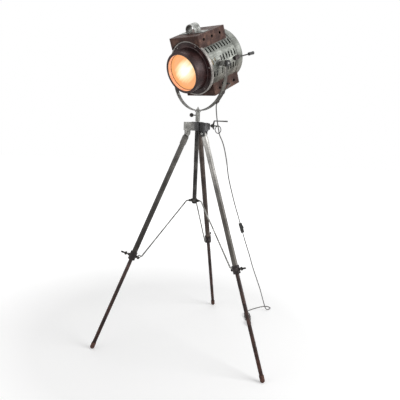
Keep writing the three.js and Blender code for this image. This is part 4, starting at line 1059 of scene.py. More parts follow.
# ---- the stand ----
@dataclass
class Hub:
    """The hub, its column, stem, bolts and the lever clamp on its side."""

    spot: Spot
    slit_width: float = 3.0
    slit_turn: float = -74.0  # degrees from X, round the hub
    slit_depth: float = 13.0
    slit_reach: float = 45.0
    slit_drop: float = 12.0  # from the hub's top to the slit's middle

    def build(self) -> None:
        """Makes every piece of the hub."""
        hub = Bench.worked("hub", self.spot)
        low, high = self.spot.box("hub")
        middle = (self.slit_reach - self.slit_depth, 0, high.z - self.slit_drop)
        slit = block((self.slit_depth, self.slit_width, high.z - low.z), middle)
        cut(hub, about_z(slit, self.slit_turn))
        Bench.finish(hub, "hub_casting", self.spot, Finishes.CAST, ("hub",), 0.7)
        self.bars()
        for i in range(1, 4):
            Bench.reworked(f"hinge_bolt_{i}", self.spot, Finishes.STEEL, 0.5)
        self.guide_ring()
        Bench.reworked("hub_clamp_lever", self.spot.riding("hub_clamp_lever"), Finishes.IRON, 0.5)

    def bars(self) -> None:
        """The column, its end stop and the stem."""
        low, high = self.spot.box("column")
        column = pin(high.x, low.z, high.z, 1.0, 48)
        Bench.finish(column, "column_bar", self.spot, Finishes.IRON, ("column",), 0)
        low, high = self.spot.box("column_stop")
        shape = eased([(0.0, low.z), (high.x - 2, low.z), (high.x, high.z - 3), (high.x, high.z), (0.0, high.z)], 0.8)
        Bench.finish(turned(shape), "column_end_stop", self.spot, Finishes.BLACK, ("column_stop",), 0)
        low, high = self.spot.box("stem")
        Bench.finish(pin(high.x, low.z, high.z, 0.8), "stem_bar", self.spot, Finishes.STEEL, ("stem",), 0)

    def guide_ring(self) -> None:
        """The stud on the hub's side, with the wire ring that the cord passes through."""
        Bench.reworked("cord_guide", self.spot, Finishes.IRON, 0.3, 50)


@dataclass
class Leg:
    """One telescoping leg: hinge tongue and upper tube, clamp, lower tube and foot."""

    number: int
    spot: Spot
    tongue_radius: float = 11.0
    tongue_thickness: float = 12.0
    bolt_hole: float = 4.4
    socket_wall: float = 2.0
    socket_top: float = -17.0
    socket_end: float = -57.0
    wall: float = 2.5
    lower_wall: float = 1.6
    plug: float = 6.0  # solid stretch between the socket's top and the tube's bore

    def build(self) -> None:
        """Makes every piece of the leg."""
        self.upper()
        self.lower()
        moving = self.spot.riding(f"clamp_lever_{self.number}")
        Bench.reworked(f"leg_clamp_{self.number}", self.spot, Finishes.BLACK, 0.6)
        Bench.reworked(f"clamp_lever_{self.number}", moving, Finishes.IRON, 0.5)

    def upper(self) -> None:
        """The upper tube with its socket, tongue and bolt eye."""
        node = f"upper_leg_{self.number}"
        low, high = self.spot.box(node)
        outside = high.y
        radius = outside - self.socket_wall
        inside = radius - self.wall
        top, end = self.socket_top, self.socket_end
        shell = eased([(0.0, top), (outside, top), (outside, end), (radius, end), (radius, low.z), (inside, low.z),
                       (inside, top - self.plug), (0.0, top - self.plug)], 0.8)
        half = self.tongue_thickness / 2
        tongue = block((2 * self.tongue_radius, 2 * half, -top + 2), (0, 0, top / 2 - 1))
        eye = turned_by(pin(self.tongue_radius, -half, half, 0, 40), ALONG_Y)
        made = joined(turned(shell), tongue, eye)
        cut(made, turned_by(pin(self.bolt_hole, -20, 20), ALONG_Y))
        # The legs wear lit and shaded copies of one nickel: painted light and shade.
        finish = (Finishes.SHADED_LEFT_LEG, Finishes.LIT_RIGHT_LEG, Finishes.SHADED_BACK_LEG)[self.number - 1]
        Bench.finish(made, f"upper_tube_{self.number}", self.spot, finish, (node,), 0.5)

    def lower(self) -> None:
        """The lower tube and its foot."""
        sliding = self.spot.riding(f"lower_leg_{self.number}")
        node = f"lower_leg_{self.number}"
        low, high = sliding.box(node)
        radius = high.y
        inside = radius - self.lower_wall
        tube = turned(eased([(inside, low.z), (radius, low.z), (radius, high.z), (inside, high.z)], 0.5))
        Bench.finish(tube, f"lower_tube_{self.number}", sliding, Finishes.UMBER, (node,), 0)
        Bench.reworked(f"foot_{self.number}", sliding, Finishes.RUBBER, 0.5, 50)


@dataclass
class Spreader:
    """The collar on the column and the braces to the legs."""

    spot: Spot
    braces: int = 3

    def build(self) -> None:
        """Makes the collar and the braces."""
        Bench.reworked("spreader_collar", self.spot, Finishes.IRON, 0.6)
        for i in range(1, self.braces + 1):
            Bench.reworked(f"brace_{i}", self.spot.riding(f"brace_{i}"), Finishes.GREY_IRON, 0.3, 50)


# ---- the yoke ----
@dataclass
class Yoke:
    """The strap that carries the head, on its pan socket. X runs along the tilt axis."""

    spot: Spot
    tilt_height: float
    thickness: float = 4.0
    end: float = 14.0  # strap above the tilt axis
    tilt_hole: float = 4.4
    knob_radius: float = 9.5
    screw_radius: float = 2.5

    def build(self) -> None:
        """Makes the yoke and what is on it."""
        self.strap()
        Bench.reworked("pan_socket", self.spot, Finishes.GREY_IRON, 0.5)
        Bench.reworked("yoke_bolt", self.spot, Finishes.STEEL, 0.4)
        for name in ("cord_clip_upper", "cord_clip_lower"):
            Bench.reworked(name, self.spot, Finishes.BLACK, 0.3)
        self.lock_knob()

    def strap(self) -> None:
        """The strap: two arms and a half round bend between them."""
        low, high = self.spot.box("yoke")
        outer = high.x
        inner = outer - self.thickness
        centre, top = low.z + outer, high.z
        outside = arc(0, centre, outer, 180, 360, 96)
        inside = arc(0, centre, inner, 360, 180, 96)
        tip = 6.0
        right = eased([(outer, top - 2 * tip), (outer, top), (inner, top), (inner, top - 2 * tip)], 1.2)
        left = [(-x, z) for x, z in reversed(right)]
        strap = plate([*outside, *right, *inside, *left], high.y - low.y)
        hole = shifted(turned_by(pin(self.tilt_hole, -outer - 5, outer + 5), ALONG_X), 0, 0, self.tilt_height)
        corner = [self.round_tip(side * (outer - self.thickness / 2), top) for side in (-1, 1)]
        cut(strap, hole, *corner)
        Bench.finish(strap, "yoke_strap", self.spot, Finishes.STRAP, ("yoke",), 0.8)

    def round_tip(self, x: float, top: float) -> Object:
        """A tool that rounds the strap's end across its width.

        Args:
            x: the middle of the arm's thickness.
            top: the height of the arm's end.

        Returns:
            The tool.
        """
        low, high = self.spot.box("yoke")
        half = (high.y - low.y) / 2
        past = half + 2
        frame = [(-past, top - half), *arc(0, top - half, half, 180, 0, 24), (past, top - half), (past, top + 2),
                 (-past, top + 2)]
        tool = extruded([(z, y) for y, z in frame], -self.thickness, self.thickness)
        return shifted(turned_by(tool, Matrix.Rotation(-math.pi / 2, 4, "Y")), x, 0, 0)

    def lock_knob(self) -> None:
        """The ball-headed screw that locks the pan."""
        spot = self.spot.riding("pan_lock_knob")
        points = [spot.axes.inverted() @ v.co for v in Bench.frame["nodes"]["pan_lock_knob"].data.vertices]
        away = max(points, key=lambda point: point.xy.length).xy.normalized()
        tip = max(point.xy.length for point in points)
        start = min(point.xy.length for point in points)
        low, high = spot.box("pan_lock_knob")
        height = (low.z + high.z) / 2
        reach = tip - self.knob_radius
        screw = turned_by(pin(self.screw_radius, start, reach), ALONG_X)
        knob = joined(ball(self.knob_radius, (reach, 0, 0)), screw)
        turn = Matrix.Rotation(math.atan2(away.y, away.x), 4, "Z")
        turned_by(knob, Matrix.Translation((0, 0, height)) @ turn)
        Bench.finish(knob, "pan_lock_ball", spot, Finishes.IRON, ("pan_lock_knob",), 0, 50)


# ---- the head ----
@dataclass
class Head:
    """The lamp's head. X is its right, Y its back and Z runs up through the top box, from the tilt axis."""

    spot: Spot
    bead: float = 2.6
    wall: float = 2.0
    slot_width: float = 7.5
    slot_length: float = 27.0
    slot_first: float = -40.0
    slot_pitch: float = 19.5
    slot_count: int = 9
    slot_turns: tuple[float, ...] = (35.0, 9.0, -17.0)
    flange: float = 6.0
    rim_step: float = 3.0
    snoot_taper: float = 4.0
    snoot_wall: float = 3.0
    lip: float = 5.0
    lip_face: float = 10.0  # from the snoot's tip in to the lens opening
    rod_slope: float = 7.7  # degrees, down towards the grip
    screw: Screw = Screw()
    trunnion_flange: float = 17.0  # half the stretch of drum that each trunnion's flange covers
    slot_clearance: float = 5.0
    bolt_hole: float = 4.4
    drum_screws: tuple[tuple[int, int], ...] = ((22, 42), (22, 101), (-31, 60))  # degrees up, distance back
    cover_screws: float = 94.0  # radius of the circle that they stand on
    vent_corner: float = 5.0
    vent_hole: float = 6.5
    top_holes: tuple[float, ...] = (-31, 24, 79)  # distances back
    top_hole_height: float = 114
    low_holes: tuple[float, ...] = (3, 55.5, 108)
    low_hole_height: float = 110
    cord_hole: float = 3.1
    handle_screw: tuple[float, float] = (58, 11)  # from the handle's middle, sideways and back
    rim_return: float = 3.6  # how far the front ring's inner edge turns back over the bezel
    flange_edge: float = 3.0  # thickness of the bezel's outer edge
    lens_seat: float = 4.0  # how far the lens' seat stands in from the snoot's bore
    lens_edge: float = 6.0  # thickness of the lens at its rim
    lens_steps: int = 20
    lens_wire: float = 1.3
    vent_clear: float = 4.2  # from the drum to the cut that clears its bead and ring
    knob_thickness: float = 12.0
    grip_end: float = 4.0
    grip_bore: float = 3.3
    knob_ribs: int = 18

    def build(self) -> None:
        """Makes every piece of the head."""
        self.drum()
        self.rim()
        self.bezel()
        self.lens()
        self.cover()
        self.boxes()
        self.handle()
        self.knobs()
        self.aiming_rod()
        self.light_source()
        Bench.reworked("gland", self.spot, Finishes.PLASTIC, 0.3)
        for name in ("trunnion_left", "trunnion_right"):
            Bench.reworked(name, self.spot, Finishes.GREY_IRON, 0.6)

    def turned_back(self, outline: Outline, sides: int = 128) -> Object:
        """A piece turned about the head's axis, from [radius, distance back] points."""
        return turned_by(turned(outline, sides), ALONG_Y)

    @property
    def drum_ends(self) -> tuple[float, float, float]:
        """The drum's radius, front and back."""
        low, high = self.spot.box("drum")
        return high.x - self.bead, low.y, high.y

    def core(self, radius: float, start: float, end: float) -> Object:
        """A round cutting tool on the head's axis, from one distance back to another."""
        return self.turned_back([(0.0, start), (radius, start), (radius, end), (0.0, end)])

    def slots(self) -> list[Object]:
        """The cutting tools for the rows of slots on both sides.

        Returns:
            One tool for each row.
        """
        radius, *_ = self.drum_ends
        outline = rounded_rectangle(self.slot_length, self.slot_width, 0.45 * self.slot_width)
        flange_clear = self.trunnion_flange + self.slot_clearance
        tools = []
        for row in self.slot_turns:
            near_trunnion = abs(radius * math.sin(math.radians(row))) < flange_clear + self.slot_length / 2
            for turn in (-row, 180 + row):
                tool = turned_by(turned_by(extruded(outline, -8, 8), ALONG_X), TO_FRONT)
                skip = self.trunnion_flange if near_trunnion else 0.0
                rows = Rows(radius, 1, turn, 0, self.slot_count, self.slot_first, self.slot_pitch, skip)
                tools.append(turned_by(rows.of(tool, Bench.rows), ALONG_Y))
        return tools

    def drum(self) -> None:
        """The slotted drum with the bead at its back edge, and the screws in its side."""
        radius, front, back = self.drum_ends
        inside = radius - self.wall
        bead = arc(radius, back - self.bead, self.bead, -90, 90, 8)
        shell = self.turned_back([(inside, front), (radius, front), *bead, (inside, back)], 160)
        holes = turned_by(pin(self.bolt_hole, -2 * radius, 2 * radius), ALONG_X)
        cut(shell, holes, *self.slots())
        shell = Bench.finish(shell, "drum_shell", self.spot, Finishes.BRIGHT, ("drum",), 0.35, 40)
        # The drum's inner face is painted near-black: painted shade.
        Bench.lined(shell, self.spot, Finishes.SHADED_INSIDE, lambda r, _: r < inside + 0.8)
        for i, (turn, place) in enumerate(self.drum_screws):
            for side, name in ((1, "right"), (-1, "left")):
                head = turned_by(self.screw.head(), ALONG_X)
                lift = Matrix.Translation((radius, 0, 0))
                spin = Matrix.Rotation(math.radians(-turn if side > 0 else 180 + turn), 4, "Y")
                screw = turned_by(head, Matrix.Translation((0, place, 0)) @ spin @ lift)
                Bench.finish(screw, f"drum_screw_{name}_{i + 1}", self.spot, Finishes.STEEL, (), 0)

    def rim(self) -> None:
        """The bright ring round the front of the drum."""
        low, high = self.spot.box("front_rim")
        radius, front, _ = self.drum_ends
        inside, inner = radius + 0.3, radius - self.rim_step + 0.3
        shoulder = front - self.rim_return
        shape = eased([(inner, shoulder), (inside, shoulder), (inside, high.y), (high.x, high.y), (high.x, low.y),
                       (inner, low.y)], 1.6, 5)
        Bench.finish(self.turned_back(shape), "front_ring", self.spot, Finishes.RING, ("front_rim",), 0, 40)

    def bezel(self) -> None:
        """The dark front: a flange, and a snoot that stands out round the lens."""
        low, high = self.spot.box("bezel")
        back, lip, edge = high.y, low.y, high.x
        flange_edge = self.drum_ends[0] - self.rim_step
        inside = self.spot.box("lens")[1].x + 0.3
        tip = inside + self.lip_face
        root, wall = tip + self.snoot_taper, self.snoot_wall
        flange, lip_end = back - self.flange, lip + self.lip
        seat = self.spot.box("lens")[1].y + 0.3
        step, rebate = inside - self.lens_seat, back - self.flange_edge
        outline = [
            (root - wall, back), (edge, back), (edge, rebate), (flange_edge, rebate), (flange_edge, flange),
            (root + 5, flange), (root + 1, flange - 2), (root, flange - 5), (tip, lip_end + 2), (tip + 2, lip_end),
            (tip + 2, lip), (inside, lip), (inside, seat), (step, seat), (step, seat + 2),
            (inside, seat + 4), (inside + wall, seat + 4), (inside + wall, lip_end), (tip - wall, lip_end),
        ]
        bezel = Bench.finish(self.turned_back(eased(outline, 1.0)), "bezel_and_snoot", self.spot, Finishes.BEZEL,
                             ("bezel",), 0, 40)
        Bench.lined(bezel, self.spot, Finishes.LINING, lambda r, y: r < inside + 0.6 and y < seat - 6)
        head = turned_by(Screw(3.2, 2.0).head(), Matrix.Rotation(math.pi, 4, "X"))
        screws = Rows((root + 5 + flange_edge) / 2, 6, 0.0, 60.0).of(head, Bench.rows)
        screws = shifted(turned_by(screws, ALONG_Y), 0, flange, 0)
        Bench.finish(screws, "bezel_screws", self.spot, Finishes.RING, (), 0)

    def lens(self) -> None:
        """The lens, bulged to the front."""
        low, high = self.spot.box("lens")
        radius, back = high.x, high.y
        edge = back - self.lens_edge
        bulge, steps = edge - low.y, self.lens_steps
        front = [(radius * i / steps, edge - bulge * (1 - (i / steps) ** 2)) for i in range(steps)]
        outline = [*front, (radius, edge), (radius, back), (0.0, back)]
        lens = Bench.finish(self.turned_back(outline, 96), "front_lens", self.spot, Finishes.LENS, ("lens",), 0)
        # The lens' back face is painted near-black: painted shade.
        Bench.lined(lens, self.spot, Finishes.SHADED_INSIDE, lambda _, y: y > back - 2)
        wire = self.turned_back([(radius - x, edge - 1 - y) for x, y in arc(0, 0, self.lens_wire, 0, 330, 11)], 96)
        Bench.finish(wire, "lens_retainer", self.spot, Finishes.RETAINER, (), 0)

    def cover(self) -> None:
        """The rear cover, with a round edge and a shallow dish in its back."""
        low, high = self.spot.box("rear_cover")
        radius, start, back = high.x, low.y, high.y
        edge, dish_rim, dish, depth = 12.0, 70.0, 60.0, 8.0
        outer = arc(radius - edge, back - edge, edge, 0, 90, 8)
        inner = arc(radius - edge, back - edge, edge - self.wall, 90, 0, 8)
        pan = eased([(dish_rim + 4, back), (dish_rim, back), (dish, back - depth), (dish - 4, back - depth)], 2.0)
        outline = [
            (radius, start), *outer, *pan[4:-4], (0.0, back - depth), (0.0, back - depth - self.wall),
            (dish + 1, back - depth - self.wall), (dish_rim + 1, back - self.wall), *inner, (radius - self.wall, start),
        ]
        cover = Bench.finish(
            self.turned_back(outline), "rear_cover_shell", self.spot, Finishes.BRIGHT, ("rear_cover",), 0, 40)
        # The cover's inner faces are painted near-black: painted shade.
        Bench.lined(cover, self.spot, Finishes.SHADED_INSIDE, lambda r, y: r < radius - 1 and y < back - depth - 1)
        # The darker band on the round back edge is painted shade.
        Bench.lined(cover, self.spot, Finishes.SHADED_COVER_EDGE, lambda r, y: r > radius - 8 and y > back - 8)
        seam = self.turned_back([(radius - 1, start), (radius + 0.8, start), (radius + 0.8, start + 1.6),
                                 (radius - 1, start + 1.6)])
        Bench.finish(seam, "cover_seam", self.spot, Finishes.BLACK, (), 0)
        heads = Rows(self.cover_screws, 4, 45.0, 90.0).of(self.screw.head(), Bench.rows)
        Bench.finish(shifted(turned_by(heads, ALONG_Y), 0, back, 0), "cover_screws", self.spot, Finishes.STEEL, (), 0)

    def vent_box(self, node: str, holes: Sequence[float], hole_height: float) -> Object:
        """A vent box with its open side on the drum, upright.

        Args:
            node: the frame node that it stands for.
            holes: distances back of the round holes in its sides.
            hole_height: the height of those holes.

        Returns:
            The box.
        """
        low, high = self.spot.box(node)
        height = max(high.z, -low.z)
        middle, length, width = (low.y + high.y) / 2, high.y - low.y, high.x - low.x
        corner, wall = self.vent_corner, self.wall
        radius, front, back = self.drum_ends
        outer = shifted(extruded(rounded_rectangle(width, length, corner), 0, height), 0, middle, 0)
        inner = extruded(rounded_rectangle(width - 2 * wall, length - 2 * wall, corner - wall), -1, height - wall)
        clear = radius + self.vent_clear
        rounds = [
            self.core(radius + 0.3, low.y - 2, high.y + 2),
            self.core(clear, low.y - 20, front + 5),
            self.core(clear, back - 8, back + 1),
        ]
        bore_places = [Matrix.Translation((0, y, hole_height)) @ ALONG_X for y in holes]
        bores = [turned_by(pin(self.vent_hole, -width, width), place) for place in bore_places]
        return cut(outer, shifted(inner, 0, middle, 0), *rounds, *bores)

    def boxes(self) -> None:
        """The top and the bottom vent box, with the screws that hold them."""
        top = self.vent_box("top_box", self.top_holes, self.top_hole_height)
        Bench.finish(top, "top_vent_box", self.spot, Finishes.BRONZE, ("top_box",), 1.0)
        bottom = turned_by(self.vent_box("bottom_box", self.low_holes, self.low_hole_height), TURNED_OVER)
        low, high = self.spot.box("gland")
        cord_hole = pin(self.cord_hole, 0, high.x)
        place = Matrix.Translation((2, (low.y + high.y) / 2, (low.z + high.z) / 2)) @ ALONG_X
        cut(bottom, turned_by(cord_hole, place))
        Bench.finish(bottom, "bottom_vent_box", self.spot, Finishes.BRONZE, ("bottom_box",), 1.0)

    def handle(self) -> None:
        """The strap handle on the top box and its four screws."""
        low, high = self.spot.box("strap_handle")
        foot, rise, width = high.x, high.z - low.z, high.y - low.y
        span, thick = 27.0, 3.0
        shoulder = rise - span
        centre = (low.y + high.y) / 2
        over = arc(0, shoulder, span, 0, 180, 40)
        under = arc(0, shoulder, span - thick, 180, 0, 40)
        foot_right = [(span - thick, 0.0), (foot, 0.0), (foot, thick), (span, thick)]
        outline = [*foot_right, *over, *((-x, z) for x, z in reversed(foot_right)), *under]
        strap = shifted(plate(outline, width), 0, centre, low.z)
        Bench.finish(strap, "handle_strap", self.spot, Finishes.HANDLE, ("strap_handle",), 0.8)
        out, along = self.handle_screw
        for side, name in ((-1, "left"), (1, "right")):
            for i, y in enumerate((centre - along, centre + along)):
                head = shifted(self.screw.head(), side * out, y, low.z + thick)
                Bench.finish(head, f"handle_screw_{name}_{i + 1}", self.spot, Finishes.STEEL, (), 0)

    def knobs(self) -> None:
        """The ribbed tilt knobs."""
        for side, name in ((1, "right"), (-1, "left")):
            node = f"tilt_knob_{name}"
            spot = self.spot.riding(node)
            low, high = spot.box(node)
            radius, tip = high.z, max(high.x, -low.x)
            start = min(abs(high.x), abs(low.x))
            inner = tip - self.knob_thickness
            dial = eased([(0.0, inner), (9.0, inner), (radius, inner + 4), (radius, tip), (radius - 4, tip),
                          (radius - 5, tip - 1.5), (0.0, tip - 1.5)], 0.9)
            knob = joined(turned(dial), pin(4.0, start, inner + 1))
            groove = pin(1.3, inner - 1, tip + 1, 0, 12)
            ribs = Rows(radius + 0.5, self.knob_ribs, 0, 360 / self.knob_ribs)
            knob = cut(knob, ribs.of(groove, Bench.rows))
            turned_by(knob, ALONG_X if side > 0 else TURNED_ROUND @ ALONG_X)
            Bench.finish(knob, f"tilt_dial_{name}", spot, Finishes.PLASTIC, (node,), 0.3)
            middle = Screw(5.0, 1.6).head()
            turned_by(middle, Matrix.Rotation(side * math.pi / 2, 4, "Y") @ Matrix.Translation((0, 0, tip - 1.5)))
            Bench.finish(middle, f"tilt_screw_{name}", spot, Finishes.STEEL, (), 0)

    def aiming_rod(self) -> None:
        """The rod with which the head is aimed, its bracket and its grip."""
        Bench.reworked("aim_bracket", self.spot, Finishes.BLACK, 0.8)
        sloped = Spot(self.spot.body, self.spot.axes @ Matrix.Rotation(math.radians(-self.rod_slope), 4, "X"))
        low, high = sloped.box("aim_rod")
        x, z = (low.x + high.x) / 2, (low.z + high.z) / 2
        along = Matrix.Translation((x, 0, z)) @ ALONG_Y
        bar = turned_by(pin((high.z - low.z) / 2, low.y, high.y, 0.8, 24), along)
        Bench.finish(bar, "aiming_bar", sloped, Finishes.IRON, ("aim_rod",), 0)
        low, high = sloped.box("aim_grip")
        radius = (high.x - low.x) / 2
        start, length = low.y + self.grip_end, high.y - low.y - 2 * self.grip_end
        waist = [(radius - math.sin(math.pi * i / 8), start + length * i / 8) for i in range(9)]
        shape = eased([(0.0, low.y), (radius - 2, low.y), *waist, (radius - 3, high.y), (0.0, high.y)], 1.0)
        grip = turned_by(cut(turned(shape, 32), pin(self.grip_bore, low.y - 1, high.y - 6, 0, 24)), along)
        Bench.finish(grip, "aiming_grip", sloped, Finishes.PLASTIC, ("aim_grip",), 0, 40)

    def light_source(self) -> None:
        """The lamp holder, bulb, reflector and the bracket that carries them."""
        Bench.reworked("holder_bracket", self.spot, Finishes.STEEL, 0.5)
        Bench.reworked("lamp_holder", self.spot, Finishes.CERAMIC, 0.8)
        Bench.reworked("reflector", self.spot, Finishes.MIRROR, 0, 50)
        Bench.reworked("bulb", self.spot, Finishes.BULB, 0, 50)


# ---- the cord ----
@dataclass
class Cord:
    """The mains cord: from the head to the yoke, and down the stand to its hank and plug."""

    stand: Spot
    pan: Spot
    radius: float = 2.5
    head_route: tuple[tuple[float, float, float], ...] = (
        (115.6, 67.1, 1279.5), (121, 66.7, 1279.4), (129, 63.6, 1278.4), (137, 57, 1275.8), (143, 47, 1271.3),
        (146, 34, 1264), (145.8, 23, 1254), (143.4, 16.5, 1247), (140.98, 15, 1242.85), (137.81, 15, 1236.89),
    )
    main_route: tuple[tuple[float, float, float], ...] = (
        (110.92, -82.92, 1236.63), (108.6, -80.76, 1230.67), (104.82, -77.23, 1222.77), (96.98, -69.93, 1208.69),
        (91.73, -65.03, 1200.62), (88.04, -61.59, 1195.91), (84.35, -58.15, 1191.2), (82.1, -51.26, 1181),
        (82.46, -41.34, 1166.5), (85.18, -28.16, 1146), (89.24, -12.8, 1121), (94.5, 2, 1095), (101, 20.5, 1069),
        (107, 31, 1045), (123, 41, 1012), (134, 49, 980), (149, 65, 919), (164, 90, 839), (190, 120, 747),
        (211, 142, 681), (229, 161, 630), (241.9, 173, 591.8), (247.4, 178.9, 575.7), (254, 186, 556),
        (260.6, 193.1, 536.3), (266.1, 199, 520.2), (288, 222, 458), (318, 253, 376), (340, 278, 311), (377, 314, 216),
        (400, 338, 156), (421, 362, 94), (436, 379, 50), (450, 394, 16), (463, 405, 3.6), (479, 421, 2.8),
        (483, 438, 2.8), (470, 453, 2.8), (445, 452, 2.8), (400, 426, 2.8), (359, 395, 2.8), (338, 371, 2.8),
        (331, 348.6, 2.8),
    )
    fold_radius: float = 15.0
    layer: float = 5.2  # from the hank's lower layer to its upper one
    tie_height: float = 11.6
    tie_wall: float = 1.2
    tie_width: float = 8.0
    bend_start: tuple[float, float, float] = (89.24, -12.8, 1121.0)  # above the clamp lever
    clip_place: tuple[float, float, float] = (88.04, -61.59, 1195.91)

    def hank(self) -> list[tuple[float, float, float]]:
        """The folded stretch: its runs lie side by side and in two layers, and a rising run crosses the first.

        Returns:
            Its points, from the cord to the plug.
        """
        low, high = self.stand.box("cord_hank")
        x = (low.x + high.x) / 2
        front = low.y + self.radius + self.fold_radius + 0.5
        back = high.y - self.radius - self.fold_radius - 0.5
        fold, near, far = self.fold_radius, self.main_route[-1][2], self.main_route[-1][2] + self.layer
        route = [(x + 0.6, high.y - 7, near), (x + 0.3 * fold, high.y - 14, near),
                 (x + 0.75 * fold, high.y - 23, near), (x + 0.97 * fold, high.y - 32, near),
                 (x + fold, (front + back) / 2, near)]
        for turn in range(0, 181, 30):
            route.append((x + fold * math.cos(math.radians(turn)), front - fold * math.sin(math.radians(turn)), near))
        rise = 6
        for i in range(1, rise):
            share = i / rise
            route.append((x - fold, front + (back - front) * share, near + (far - near) * share))
        for turn in range(180, -1, -30):
            route.append((x + fold * math.cos(math.radians(turn)), back + fold * math.sin(math.radians(turn)), far))
        route += [(x + fold, (front + back) / 2 + 8, far), (x + 0.97 * fold, low.y + 34, far),
                  (x + 0.75 * fold, low.y + 25, far), (x + 0.3 * fold, low.y + 14, far + 0.4),
                  (x, low.y + 6, far + 0.8), (x, low.y, far + 0.8)]
        return route

    def build(self) -> None:
        self.switch()
        Bench.reworked("plug", self.stand, Finishes.PLASTIC, 0.8)
        self.tie()
        self.stretch("cord_to_yoke", self.head_route, self.pan, ("cord_head",))
        self.stretch("cord_to_plug", (*self.main_route, *self.hank()), self.stand, ("cord_main", "cord_hank"))

    def switch(self) -> None:
        """The switch on the cord and its slider."""
        Bench.reworked("switch_body", self.stand, Finishes.PLASTIC, 1.2)
        Bench.reworked("switch_slider", self.stand.riding("switch_slider"), Finishes.PLASTIC, 0.5)

    def tie(self) -> None:
        """The band that holds the hank together."""
        low, high = self.stand.box("cord_hank")
        x, y = (low.x + high.x) / 2, (low.y + high.y) / 2
        width, height, wall, half = high.x - low.x, self.tie_height, self.tie_wall, self.tie_width / 2
        outside = rounded_rectangle(width + 2, height, 4.0)
        band = extruded(outside, -half, half)
        bore = rounded_rectangle(width + 2 - 2 * wall, height - 2 * wall, 2.8)
        cut(band, extruded(bore, -half - 2, half + 2))
        place = Matrix.Translation((x, y, height / 2 + 0.2)) @ ALONG_Y
        Bench.finish(turned_by(band, place), "hank_tie", self.stand, Finishes.PLASTIC, (), 0.3)

    def stretch(self, name: str, points: Sequence[Sequence[float]], spot: Spot, nodes: Sequence[str]) -> None:
        """One stretch of the cord as a tube, taken off its body.

        Args:
            name: the piece's name.
            points: the route's points, from the exit on.
            spot: the axes that they are in.
            nodes: the frame nodes that it stands for.
        """
        path = through(points, 8)
        tube = rod(path, self.radius, 12)
        piece = Bench.finish(tube, name, spot, Finishes.CORD, nodes, 0, 60)
        piece.parent = None
        if name == "cord_to_yoke":
            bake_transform(piece)
        else:
            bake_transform(piece)


# ---- camera, light and floor ----
@dataclass(frozen=True)
class Camera:
    """The camera, placed from the column's axis, in metres and radians."""

    distance: float = 2.1659
    height: float = 1.1509
    yaw: float = 0.0125
    pitch: float = 0.1907
    roll: float = 0.0426
    lens: float = 41.34
    sensor: float = 36.0

    def build(self, axis: Vector) -> None:
        """Makes the camera and gives it to the scene.

        Args:
            axis: the foot of the lamp's column.
        """
        data = bpy.data.cameras.new("camera")
        data.lens, data.sensor_width, data.sensor_fit = self.lens, self.sensor, "AUTO"
        made = bpy.data.objects.new("camera", data)
        bpy.context.scene.collection.objects.link(made)
        look = Vector((math.sin(self.yaw) * math.cos(self.pitch), math.cos(self.yaw) * math.cos(self.pitch),
                       -math.sin(self.pitch)))
        right = Vector((math.cos(self.yaw), -math.sin(self.yaw), 0))
        up = right.cross(look)
        tilted_right = math.cos(self.roll) * right + math.sin(self.roll) * up
        tilted_up = math.cos(self.roll) * up - math.sin(self.roll) * right
        turn = Matrix((tilted_right, tilted_up, -look)).transposed().to_4x4()
        made.matrix_world = Matrix.Translation((axis.x, axis.y - self.distance, self.height)) @ turn
        bpy.context.scene.camera = made


